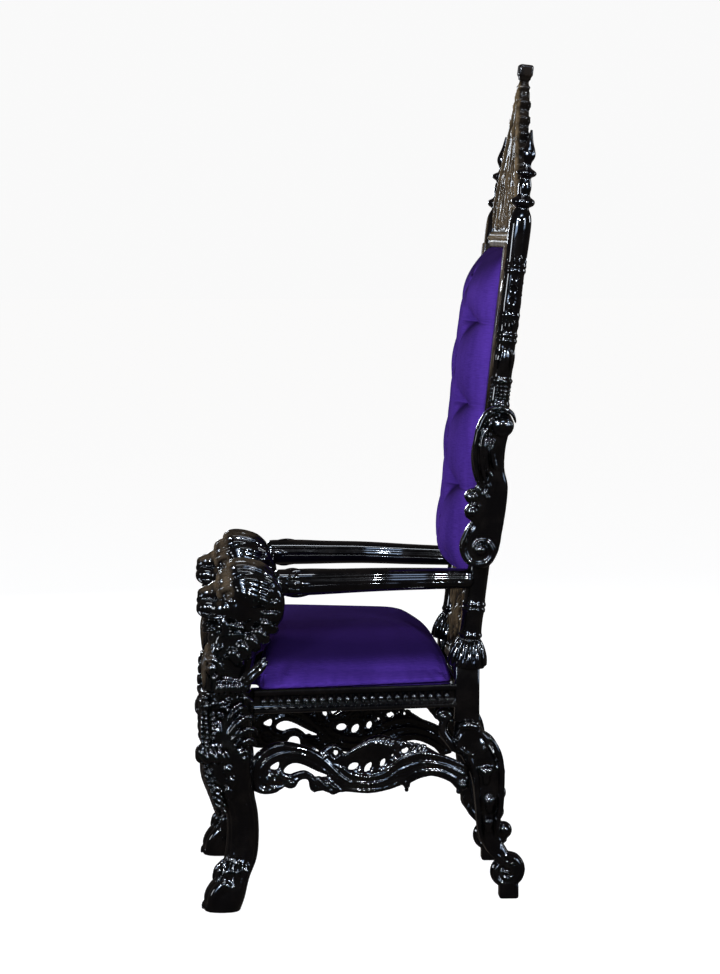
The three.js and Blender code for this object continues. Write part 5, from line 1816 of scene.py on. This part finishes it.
@dataclass
class Ear:
    """The left ear: a scroll bracket outside the stile, with fronds that sweep down from its great pearl."""

    thick: float = 15.0
    middle: float = 32.0
    voxel: float = 2.0

    def board(self) -> Shell:
        """The ear's body: its outline curls in below the pearls and is plain behind."""
        edge = [(2, 566), (-16, 560), (-34, 532), (-42, 500), (-44, 466), (-38, 430), (-30, 402), (-44, 392),
            (-50, 376), (-42, 362), (-48, 350), (-46, 332), (-26, 318), (-34, 298), (-44, 276), (-44, 250),
            (-32, 232), (-8, 222), (18, 230), (34, 262), (38, 310), (40, 360), (38, 408), (26, 446),
            (23, 486), (26, 520), (30, 552), (18, 568)]
        return Board(closed(edge), [], self.thick - 3, 10, 0.45, 0.0, 8, 1.7).shell()

    def shells(self) -> list[Shell]:
        """The ear in the stile's own frame, drawn in a plane whose u runs backwards and v up the stile."""
        deep = self.thick
        shells = [
            self.board(),
            ribbon([(-30, 322), (-38, 300), (-44, 268), (-32, 240), (-8, 230), (16, 240), (22, 262),
                (8, 282), (-12, 282), (-20, 266), (-12, 254)], (4, 6, 7, 8, 8, 8, 8, 7, 5, 4, 3), deep + 1,
                0, 1, 130),
            ball((-4, -deep + 1, 264), (12, 9, 12), 28),
            ribbon([(-30, 408), (-40, 440), (-44, 480), (-36, 526), (-16, 556), (6, 566)],
                (3, 5, 6, 6, 6, 5), deep, 0, 1, 90),
            ball((10, -3, 538), (26, 23, 26), 36),
            strand([(10 + 19 * math.sin(a), -18, 538 + 19 * math.cos(a)) for a in np.linspace(0.4, 5.4, 12)],
                (3, 5, 3), (3, 5, 3), (0, 1, 0), 12, 60),
            ball((-38, -6, 376), (13, 13, 12), 28),
            ball((-34, -6, 344), (13, 13, 12), 28),
            ribbon([(-20, 392), (-38, 392), (-50, 378), (-44, 364)], (3, 4, 4, 3), deep - 1, 0, 2),
            ribbon([(-16, 358), (-34, 360), (-46, 346), (-40, 332)], (3, 4, 4, 3), deep - 1, 0, 2),
        ]
        for route, size in (([(38, 546), (26, 568), (0, 577), (-26, 563), (-41, 524), (-43, 476), (-34, 434),
            (-20, 402)], 1.1), ([(-12, 552), (-28, 520), (-30, 482), (-24, 446), (-11, 408)], 1.0),
            ([(-14, 520), (-20, 494), (-17, 462), (-6, 426)], 0.9),
            ([(-6, 508), (-8, 484), (-2, 460), (8, 440)], 0.8)):
            shells.append(strand([(u, -deep - 5, v) for u, v in route],
                (3 * size, 6 * size, 6.5 * size, 5.5 * size, 2.5), (6, 12, 12, 10, 4), (1, 0, 0.2), 20, 60,
                blunt=3))
        for k in range(4):
            u = -12 + (9 if k % 2 else 0)
            shells.append(ribbon([(u, 432 - 13 * k), (u + (8 if k % 2 == 0 else -8), 425 - 13 * k),
                (u + 2, 416 - 13 * k)], (2, 4.5, 2), 5.5, 0, deep - 3, 30))
        return shells

    def brown(self, points: Array) -> Array:
        """The ear's front rim gets painted brown, for wear and for a painted warm reflection."""
        local = (points - LINES.stile_base) @ LINES.stile()[:3, :3]
        front = np.interp(local[:, 2], (222, 250, 290, 320, 400, 440, 480, 530, 570),
            (-8, -42, -42, -24, -28, -40, -44, -36, 4))
        inner = np.clip((26 - local[:, 0]) / 3, 0, 1)
        return inner * np.clip((front + 5 - local[:, 1]) / 3, 0, 1) * (np.abs(local[:, 2] - 360) > 46)

    def build(self, shop: Workshop) -> None:
        """Turns the ear outwards, fuses it, mirrors it and dresses both."""
        outward = LINES.stile() @ shift(self.middle, 0, 0) @ rotation("z", math.pi / 2)
        left = shop.fuse("scrolled_ear_left", plane_to(outward, self.shells()), self.voxel, 1, 0.5)
        shop.mark_wear_and_sheen(left, self.brown)
        shop.finish_pair(left, Slot.LACQUER, "ear_scroll")


# ---- crest and splat ----


@dataclass
class Crest:
    """The crest: a gabled frame of leafy crockets round pierced scrolls, with a spire and a square cap."""

    deep: float = 13.0
    crockets: int = 7
    voxel: float = 2.4

    def half(self) -> list[Shell]:
        """The left half in its plane, heights measured up the back."""
        up, deep = LINES.up, self.deep
        foot, peak = (256, 1508), (26, 1758)
        shells = [
            ribbon(risen((foot[0], foot[1]), (190, 1576), (120, 1652), (62, 1712), (peak[0], peak[1])),
                (11, 11, 10, 10, 9), deep, 2, 1, 90),
            ribbon(risen((262, 1470), (258, 1490), (250, 1520)), (10, 10, 8), deep),
            ribbon(risen((236, 1470), (226, 1508), (190, 1528), (158, 1506))
                + coilup(170, 1490, 16, 6, 0.4, 1.0), (6, 8, 8, 7, 4), deep - 2, 2, 1),
            ribbon(risen((132, 1466), (146, 1508), (132, 1554), (98, 1566))
                + coilup(98, 1544, 18, 6, 0.2, 1.1), (6, 8, 8, 7, 4), deep - 2, 2, 1),
            ribbon(risen((56, 1466), (70, 1506), (58, 1550), (36, 1576), (44, 1612), (76, 1640)),
                (6, 8, 8, 7, 7, 6), deep - 2, 2, 1),
            ribbon(risen((186, 1546), (164, 1562), (150, 1588), (124, 1600))
                + coilup(118, 1586, 14, 5, 0.3, 1.0), (5, 7, 7, 6, 4), deep - 2, 0, 1),
            ribbon(risen((14, 1590), (26, 1636), (20, 1680), (32, 1712)), (5, 7, 7, 5), deep - 2),
            pearl(170, up(1490), 8, 8), pearl(98, up(1544), 9, 8), pearl(118, up(1586), 7, 8),
            frond(risen((206, 1474), (196, 1496), (206, 1516)), 12, deep - 3, 2, 3),
            frond(risen((94, 1470), (92, 1500), (104, 1524)), 14, deep - 3, 2, 3),
            frond(risen((28, 1470), (30, 1512), (22, 1556)), 14, deep - 3, 2, 4),
            frond(risen((72, 1580), (84, 1606), (78, 1640)), 12, deep - 3, 2, 3),
            frond(risen((150, 1552), (152, 1532), (166, 1520)), 9, deep - 3, 2, 2),
        ]
        for k in range(self.crockets):
            share = (k + 0.5) / self.crockets
            u = foot[0] + (peak[0] - foot[0]) * share
            v = foot[1] + (peak[1] - foot[1]) * share
            shells.append(frond(risen((u - 2, v - 6), (u + 8, v + 14), (u + 16, v + 18), (u + 16, v + 8)),
                                10, deep + 1, 0, 2, 0.8))
            shells.append(pearl(u + 10, up(v + 12), 6, 5))
        return shells

    def board(self) -> Shell:
        """The pierced gable behind the scrolls, its slopes broken by the crockets' rounded backs."""
        up = LINES.up
        slope = [(262, 1440), (262, 1512)]
        for k in range(self.crockets):
            share = (k + 0.5) / self.crockets
            u, z = 256 - 230 * share, 1512 + 250 * share
            slope += [(u + 12, z - 6), (u + 12, z + 10), (u - 4, z + 16), (u - 8, z + 8)]
        slope += [(18, 1770), (16, 1800), (0, 1806)]
        right = spline(np.array([(u, up(z)) for u, z in slope]), 240)
        holes = [lens(206, up(1502), 11, 16, 0.3), lens(150, up(1516), 14, 20, -0.2),
            lens(116, up(1484), 9, 12), lens(92, up(1568), 13, 16, 0.4), lens(142, up(1572), 12, 12, 0.6),
            lens(44, up(1530), 13, 22, 0.1), lens(54, up(1620), 12, 20, 0.3), lens(26, up(1690), 7, 20, 0.1),
            lens(232, up(1490), 6, 10)]
        return mirrored_board(right, holes, self.deep - 4, 0.14, 8, 2.2)

    def middle(self) -> list[Shell]:
        """The rail at the foot, the spire and the square cap."""
        up, deep = LINES.up, self.deep
        shells = [
            block((-262, -15, up(1433)), (262, 18, up(1466)), 4),
            ribbon(risen((-258, 1444), (258, 1444)), (4, 4), deep + 4),
            ribbon(risen((-258, 1462), (258, 1462)), (3.5, 3.5), deep + 4),
            ribbon(risen((0, 1470), (0, 1640), (0, 1760), (0, 1812)), (8, 9, 12, 10), deep, 0, 1),
            block((-25, -17, up(1814)), (25, 15, up(1841)), 4),
            block((-18, -14, up(1806)), (18, 12, up(1820)), 3),
            ball((0, -4, up(1690)), (24, 14, 20)),
            ball((0, -4, up(1580)), (17, 15, 26)),
            frond(risen((0, 1744), (0, 1768), (0, 1806)), 18, deep + 1, 1, 2),
        ]
        for rise in (1728, 1758, 1786):
            shells.append(block((-26 + 0.1 * (rise - 1728), -15, up(rise)),
                (26 - 0.1 * (rise - 1728), 13, up(rise + 9)), 3))
        for k in range(22):
            shells.append(pearl(-241 + 22.9 * k, up(1453), 5, 15))
        return shells

    def build(self, shop: Workshop, finish: bpy.types.Material) -> None:
        """Fuses and dresses the crest."""
        half = self.half()
        shells = plane_to(LINES.back(), [self.board(), *half, *[s.mirrored() for s in half], *self.middle()])
        piece = shop.fuse("pierced_crest", shells, self.voxel, 1, 0.5)
        shop.mark_wear_and_sheen(piece, front_wear_and_sheen)
        shop.finish(piece, Slot.LACQUER, ["crest"], finish)


def risen(*places: tuple[float, float]) -> Route:
    """A route up the raked back through places given by their height above the floor."""
    return [(u, LINES.up(z)) for u, z in places]


def front_wear_and_sheen(points: Array) -> Array:
    """How far the back's carving gets painted brown, for wear and for a painted warm reflection: only the
    raised parts of its front.
    """
    local = (points - LINES.back()[:3, 3]) @ LINES.back()[:3, :3]
    return np.clip((-local[:, 1] - 8) / 5, 0, 1) * (local[:, 2] < LINES.up(1804))


def coilup(u: float, z: float, outer: float, inner: float, start: float, turns: float) -> Route:
    """A spiral whose middle is given by its height above the floor."""
    return coil(u, LINES.up(z), outer, inner, start, turns, 8)


@dataclass
class Splat:
    """The pierced splat between the seat and the buttoned pad."""

    deep: float = 11.0
    voxel: float = 2.5

    def half(self) -> list[Shell]:
        """The left half in its plane, heights measured up the back."""
        up, deep = LINES.up, self.deep
        return [
            ribbon(risen((200, 510), (204, 560), (170, 584), (136, 560)) + coilup(150, 540, 18, 6, 0.35, 1.0),
                   (7, 9, 9, 7, 4), deep, 2, 1),
            ribbon(risen((196, 690), (206, 640), (174, 612), (138, 636)) + coilup(152, 654, 18, 6, 0.6, -1.0),
                   (7, 9, 9, 7, 4), deep, 2, 1),
            ribbon(risen((40, 560), (72, 540), (104, 566), (112, 600), (104, 636), (72, 660), (40, 642)),
                   (6, 8, 9, 9, 9, 8, 6), deep, 2, 1, 90),
            ribbon(risen((60, 506), (84, 520), (112, 512)), (6, 8, 6), deep - 2, 0, 1),
            ribbon(risen((60, 696), (84, 682), (112, 690)), (6, 8, 6), deep - 2, 0, 1),
            pearl(150, up(540), 9, 6), pearl(152, up(654), 9, 6),
            frond(risen((110, 600), (140, 600), (176, 600)), 16, deep - 1, 2, 4),
            frond(risen((64, 600), (80, 600), (98, 600)), 13, deep - 1, 2, 3),
            frond(risen((24, 512), (30, 536), (20, 560)), 13, deep - 2, 2, 3),
            frond(risen((24, 690), (30, 666), (20, 642)), 13, deep - 2, 2, 3),
        ]

    def build(self, shop: Workshop, finish: bpy.types.Material) -> None:
        """Fuses and dresses the splat."""
        up, deep = LINES.up, self.deep
        middle = [
            block((-212, -14, up(682)), (212, 18, up(712)), 4),
            block((-196, -14, up(492)), (196, 12, up(512)), 4),
            ball((0, -4, up(601)), (34, 13, 40)),
            ball((0, -12, up(601)), (20, 10, 25)),
        ]
        for k in range(12):
            turn = 2 * math.pi * k / 12
            middle.append(frond([(26 * math.cos(turn), up(601) + 30 * math.sin(turn)),
                                 (48 * math.cos(turn), up(601) + 52 * math.sin(turn))], 10, deep - 1, 3, 1))
        half = self.half()
        edge = [(0, 494), (196, 496), (216, 520), (204, 552), (222, 580), (222, 620), (206, 650), (218, 680),
            (200, 704), (0, 706)]
        right = spline(np.array([(u, up(z)) for u, z in edge]), 160)
        holes = [lens(160, up(548), 12, 14), lens(166, up(640), 12, 14), lens(106, up(598), 9, 15),
            lens(70, up(540), 14, 9), lens(76, up(658), 14, 9), lens(190, up(596), 8, 10)]
        board = mirrored_board(right, holes, deep - 3, 0.14, 8, 2.2)
        shells = plane_to(LINES.back(), [board, *half, *[s.mirrored() for s in half], *middle])
        piece = shop.fuse("pierced_splat", shells, self.voxel, 1, 0.5)
        shop.mark_wear_and_sheen(piece, front_wear_and_sheen)
        shop.finish(piece, Slot.LACQUER, ["back_splat"], finish)


# ---- upholstery ----


@dataclass
class BackPad:
    """The buttoned pad: two deep dimples a row, and a pleat from each dimple out to the side."""

    low: float = 712.0
    high: float = 1434.0
    half_low: float = 214.0
    half_high: float = 238.0
    edge: float = 20.0
    puff: float = 66.0
    column: float = 0.4
    spacing: float = 182.0
    row: float = 1085.0
    behind: float = 2.0
    shoulder: float = 172.0
    heel: float = 70.0

    def half_at(self, height: Array | float) -> Array | float:
        """Half the pad's width at a height along the back."""
        share = (height - LINES.up(self.low)) / (LINES.up(self.high) - LINES.up(self.low))
        return self.half_low + share * (self.half_high - self.half_low)

    def fullness(self, across: Array, height: Array) -> Array:
        """What the buttons leave of the pad's puff, from 0 to 1.

        With q rows up and beat = |sin(pi q)|, a valley takes 0.47 (1 - beat ** 0.58): it is deepest at the
        buttons' columns, fades slowly towards the sides and quickly towards the middle. A narrow pleat runs
        along its floor, and a faint crease joins the dimples to the small buttons on the middle line.

        Args:
            across: from -1 to 1 over the pad's width.
            height: along the back.

        Returns:
            The fullness at each place.
        """
        out = np.abs(across)
        q = (height - LINES.up(self.row)) / self.spacing
        beat = np.abs(np.sin(math.pi * q))
        beyond = out - self.column
        valley = np.exp(-((beyond / np.where(beyond > 0, 0.42, 0.15)) ** 2))
        outside = 1 / (1 + np.exp(-(beyond - 0.05) / 0.03))
        turn = np.abs(q - np.round(q))
        diagonal = np.exp(-(((out / self.column * 0.5 + turn - 0.5) / 0.075) ** 2)) * (1 - outside)
        middle = np.exp(-((np.hypot(across * self.half_high, (turn - 0.5) * self.spacing) / 22) ** 2))
        pit = np.exp(-((np.hypot(beyond * self.half_high, turn * self.spacing) / 15) ** 2))
        taken = 0.47 * valley * (1 - beat**0.58) + 0.12 * outside * (1 - beat**0.2) + 0.12 * pit
        return 1 - taken - 0.05 * diagonal - 0.1 * middle

    def depth(self, across: Array, height: Array) -> Array:
        """How far the pad stands in front of its back face.

        The crown across is (1 - |across| ** 3.4) ** 0.5, and the top and the foot are quarter rounds.

        Args:
            across: from -1 to 1 over the pad's width.
            height: along the back.

        Returns:
            The depth at each place.
        """
        low, high = LINES.up(self.low), LINES.up(self.high)
        crown = (1 - np.abs(across) ** 3.4).clip(0) ** 0.5
        top = np.sqrt((1 - (1 - np.clip((high - height) / self.shoulder, 0, 1)) ** 2).clip(0))
        foot = np.sqrt((1 - (1 - np.clip((height - low) / self.heel, 0, 1)) ** 2).clip(0))
        slope = 0.88 + 0.12 * np.clip((height - low) / 400, 0, 1)
        return self.edge * (0.3 + 0.7 * top) + self.puff * slope * crown * top * foot * self.fullness(across,
            height)

    def buttons(self) -> list[tuple[float, float]]:
        """Each button's share across and height along the back."""
        places = []
        for row in range(-3, 4):
            columns = (-self.column, self.column) if row % 2 == 0 else (0.0,)
            places += [(column, LINES.up(self.row) + row * self.spacing / 2) for column in columns]
        return places

    def cushion(self) -> Shell:
        """The pad as rings round its height, with rounded sides and a flat rear face."""
        low, high = LINES.up(self.low), LINES.up(self.high)
        rows, front = 230, 135
        height = (low + high) / 2 - (high - low) / 2 * np.cos(np.linspace(0.02, math.pi - 0.02, rows))
        height = (0.35 * height + 0.65 * np.linspace(low, high, rows))[:, None]
        across = np.sin(np.linspace(-math.pi / 2, math.pi / 2, front))[None, :]
        across = 0.45 * across + 0.55 * np.linspace(-1, 1, front)[None, :]
        half = self.half_at(height)
        tuck = 5 * (1 - np.abs(np.sin(math.pi * (height - LINES.up(self.row)) / self.spacing)) ** 0.3)
        depth = self.depth(across + 0 * height, height + 0 * across)
        side = across * (half + 4 - tuck * np.abs(across) ** 8)
        face = np.stack([side, self.behind - depth, height + 0 * across], axis=-1)
        rear_u = np.array([1, 0.5, 0, -0.5, -1])[None, :]
        rear = np.stack([rear_u * (half - 1), self.behind + 0 * rear_u + 0 * half, height + 0 * rear_u],
            axis=-1)
        return ringed(np.concatenate([face, rear], axis=1))

    def panel(self, shop: Workshop) -> None:
        """Builds the plain upholstered panel behind the pad."""
        low, high = LINES.up(self.low), LINES.up(self.high)
        height = np.array([low - 3, low, high, high + 3])[:, None]
        half = self.half_at(height) + 6 - np.array([3, 0, 0, 3])[:, None]
        corners = np.array([(1, -1), (1, 1), (-1, 1), (-1, -1)])
        swell = np.array([-6, 7])
        ring = np.stack([corners[:, 0] * half, self.behind + 8 + swell[(corners[:, 1] > 0).astype(int)] + 0
            * half, height + 0 * corners[:, 0]], axis=-1)
        panel = shop.mesh("upholstered_back_panel", ringed(ring).moved(LINES.back()), smooth=False)
        recalculate(panel)
        modify(panel, "BEVEL", width=3 * MM, segments=3)
        shop.settle(panel)
        shop.finish(panel, Slot.VELVET, ["back_panel"])

    def build(self, shop: Workshop) -> None:
        """Builds the pad with its buttons, and the panel behind it."""
        piece = shop.mesh("buttoned_back_pad", self.cushion().moved(LINES.back()))
        recalculate(piece)
        shop.finish(piece, Slot.VELVET, ["back_pad"])
        caps = []
        for across, height in self.buttons():
            front = self.behind - float(self.depth(np.array(across), np.array(height)))
            caps.append(ball((across * float(self.half_at(height)), front - 3, height), (12.5, 6, 12.5), 24))
        buttons = shop.mesh("covered_buttons", merged(caps).moved(LINES.back()))
        shop.finish(buttons, Slot.VELVET, [])
        self.panel(shop)


def recalculate(piece: bpy.types.Object) -> None:
    """Turns every face outwards."""
    work = bmesh.new()
    work.from_mesh(piece.data)
    bmesh.ops.recalc_face_normals(work, faces=work.faces)
    work.to_mesh(piece.data)
    work.free()


@dataclass
class SeatCushion:
    """The domed seat, fitted between the posts and round the lions."""

    crown: float = 123.0
    power: float = 4.4
    rings: int = 64
    cell: float = 6.0
    pressure: float = 14.0
    stretch: float = 6.0
    tacked: float = 4.0

    def outline(self) -> Array:
        """The seat's plan as a closed line of points, rounded at its corners."""
        front, back = LINES.post_y - 38, LINES.back_y - LINES.back_half - 2
        wide, rear = LINES.rail_front_x + 15, LINES.rail_rear_x + 4
        inner = LINES.post_x - LINES.post_half - 4
        corner = LINES.side_front_y + 10
        half = [(0, front - 2), (inner - 26, front), (inner - 4, front + 8), (inner, front + 28),
            (inner, corner - 16), (inner + 12, corner - 2), (wide - 22, corner), (wide - 6, corner + 8),
            (wide - 5, corner + 40), ((wide + rear) / 2 - 2, (corner + back) / 2), (rear, back - 50),
            (rear - 10, back - 18), (rear - 44, back - 2), (0, back)]
        mirrored = [(-x, y) for x, y in half[-2:0:-1]]
        return spline(np.array(half + mirrored + half[:1]), 241)[:-1]

    def shell(self) -> Shell:
        """Rings drawn in from the outline: at share s of the way out the height is crown * (1 - s ** power)
        ** 0.45.
        """
        edge = self.outline()
        middle = np.array([0.0, edge[:, 1].mean()])
        share = np.concatenate([np.linspace(0.03, 0.8, self.rings // 2),
            1 - np.geomspace(0.19, 0.002, self.rings // 2), [1]])
        share = share[::-1, None]
        rise = self.crown * (1 - np.minimum(share, 1) ** self.power).clip(0) ** 0.45
        plan = middle + (edge - middle)[None, :, :] * share[..., None]
        z = LINES.rail_top + 1 + rise + 0 * plan[..., 0]
        top = np.stack([plan[..., 0], plan[..., 1], z], axis=-1)
        under = np.stack([edge[:, 0], edge[:, 1], np.full(len(edge), LINES.rail_top + 0.4)], axis=-1)[None]
        return ringed(np.concatenate([under, top]))

    def build(self, shop: Workshop) -> None:
        """Builds and dresses the seat."""
        piece = shop.mesh("domed_seat_cushion", self.shell())
        recalculate(piece)
        shop.swell(piece, self.cell, self.pressure, self.stretch, LINES.rail_top + self.tacked)
        shop.finish(piece, Slot.VELVET, ["seat_cushion"])


# ---- studio ----


@dataclass
class Studio:
    """The pale floor, the soft lights and the camera at the sitter's left."""

    camera_at: tuple[float, float, float] = (7.2, -0.387, 1.477)
    yaw: float = 3.03
    pitch: float = 4.61
    lens: float = 118.6
    floor_size: float = 60.0

    def floor(self) -> None:
        """A wide pale floor."""
        data = bpy.data.meshes.new("studio_floor")
        size = self.floor_size
        data.from_pydata([(-size, -size, 0), (size, -size, 0), (size, size, 0), (-size, size, 0)], [],
            [(0, 1, 2, 3)])
        paint = Recipe("pale_floor")
        fill(paint.tree, paint.shader, Base_Color=(0.30, 0.30, 0.30, 1), Roughness=0.9,
            Specular_IOR_Level=0.0, Emission_Color=(1, 1, 1, 1), Emission_Strength=0.94)
        data.materials.append(paint.made)
        made = linked("studio_floor", data)
        made.visible_glossy = False
        made.visible_diffuse = False

    def light(self, name: str, place: tuple[float, float, float], aim: float, size: tuple[float, float],
            power: float, colour: tuple[float, float, float]) -> bpy.types.Object:
        """Adds a soft rectangular light that faces the throne's middle line.

        Args:
            name: its name.
            place: where it stands, in metres.
            aim: the height that it faces.
            size: its width and height.
            power: in watts.
            colour: red, green and blue.

        Returns:
            The light.
        """
        lamp = bpy.data.lights.new(name, "AREA")
        lamp.shape = "RECTANGLE"
        lamp.size, lamp.size_y = size
        lamp.energy = power
        lamp.color = colour
        made = linked(name, lamp)
        made.matrix_world = look(place, (0, 0, aim))
        return made

    def sky(self) -> None:
        """White to the camera, and a dimmer grey room for everything that the lights don't reach."""
        world = bpy.data.worlds.new("studio")
        bpy.context.scene.world = world
        world.use_nodes = True
        tree = world.node_tree
        tree.nodes.clear()
        rays = node(tree, "ShaderNodeLightPath").outputs["Is Camera Ray"]
        room = node(tree, "ShaderNodeBackground", Color=(1.0, 0.86, 0.78, 1), Strength=0.055)
        seen = node(tree, "ShaderNodeBackground", Color=(1, 1, 1, 1), Strength=0.95)
        mix = tree.nodes.new("ShaderNodeMixShader")
        for at, value in enumerate((rays, room.outputs["Background"], seen.outputs["Background"])):
            feed(tree, mix.inputs[at], value)
        node(tree, "ShaderNodeOutputWorld", Surface=mix.outputs["Shader"])

    def camera(self) -> None:
        """The camera, level with the sitter's head and a little in front of square to the side."""
        data = bpy.data.cameras.new("camera")
        data.lens = self.lens
        data.sensor_width = 36
        data.clip_end = 200
        made = linked("camera", data)
        yaw, pitch = math.radians(self.yaw), math.radians(self.pitch)
        ahead = np.array([-math.cos(yaw) * math.cos(pitch), math.sin(yaw) * math.cos(pitch),
            -math.sin(pitch)])
        aim = tuple(np.asarray(self.camera_at) + ahead)
        made.matrix_world = look(self.camera_at, aim)
        bpy.context.scene.camera = made

    def build(self) -> None:
        """Sets up the whole studio."""
        self.floor()
        self.sky()
        self.camera()
        cool, blue = (0.84, 0.91, 1.0), (0.50, 0.68, 1.0)
        front = [("key", (5.2, -3.6, 2.3), 0.9, (0.5, 0.8), 80, cool),
                 ("key_halo", (5.4, -3.7, 2.5), 0.9, (2.0, 2.2), 150, blue),
                 ("window", (4.4, 4.2, 1.8), 0.8, (0.35, 1.2), 45, cool),
                 ("window_halo", (4.6, 4.3, 1.9), 0.8, (1.6, 2.2), 80, blue),
                 ("lamp", (5.0, 0.6, 4.3), 0.8, (0.6, 0.3), 40, cool),
                 ("lamp_halo", (5.1, 0.6, 4.5), 0.8, (2.6, 1.0), 90, blue)]
        round_about = [("strip", (1.6, -0.2, 4.8), 0.5, (2.6, 0.4), 70, cool),
                       ("front", (1.4, -5.0, 1.6), 0.8, (0.8, 1.4), 60, cool),
                       ("rear", (-1.2, 4.8, 2.0), 1.0, (0.6, 1.2), 40, cool),
                       ("far", (-5.4, -1.4, 1.8), 0.9, (0.8, 0.8), 60, cool)]
        for given in front:
            self.light(*given)
        for number, place in enumerate(((6.2, -0.9, 2.9), (5.0, -3.1, 3.3), (5.2, 3.1, 2.7))):
            sparkle = self.light(f"sparkle_{number}", place, 0.8, (0.34, 0.34), 240, cool)
            sparkle.visible_diffuse = False
        for given in round_about:
            self.light(*given)
        bpy.context.scene.view_settings.view_transform = "Standard"


def look(place: tuple[float, float, float], aim: tuple[float, float, float]) -> Matrix:
    """The matrix of a camera or light at a place, its -Z axis towards a point and its Y axis upwards.

    Args:
        place: where it stands.
        aim: the point that it faces.

    Returns:
        The matrix.
    """
    ahead = np.subtract(aim, place)
    ahead = ahead / np.linalg.norm(ahead)
    right = np.cross(ahead, [0, 0, 1])
    right /= np.linalg.norm(right)
    above = np.cross(right, ahead)
    made = np.eye(4)
    made[:3, 0], made[:3, 1], made[:3, 2], made[:3, 3] = right, above, -ahead, place
    return Matrix(made.tolist())


def main() -> None:
    logging.basicConfig(level=logging.INFO, format="%(name)s: %(message)s")
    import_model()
    studio = Studio()
    studio.build()
    gloss = Lacquer("black_gloss_lacquer").material()
    # the crest and splat finish: brown painted in for wear and for a painted warm reflection, with less gloss
    wear_and_sheen = Lacquer("wear_and_sheen_lacquer", warm=(0.02, 0.013, 0.008, 1), warm_share=0.8,
        brown=(0.20, 0.13, 0.066, 1), rough=(0.55, 0.75), coat=0.26, coat_rough=0.15).material()
    shop = Workshop({Slot.LACQUER: gloss, Slot.VELVET: Velvet("purple_velvet").material()})
    FrontLeg().build(shop)
    Lion().build(shop)
    ArmRail().build(shop)
    SeatRail().build(shop)
    SideApron().build(shop)
    FrontApron().build(shop)
    BackApron().build(shop)
    RearLeg().build(shop)
    Stile().build(shop)
    Ear().build(shop)
    Crest().build(shop, wear_and_sheen)
    Splat().build(shop, wear_and_sheen)
    BackPad().build(shop)
    SeatCushion().build(shop)
    log.info("%d triangles in all", shop.faces)


if __name__ == "__main__":
    main()
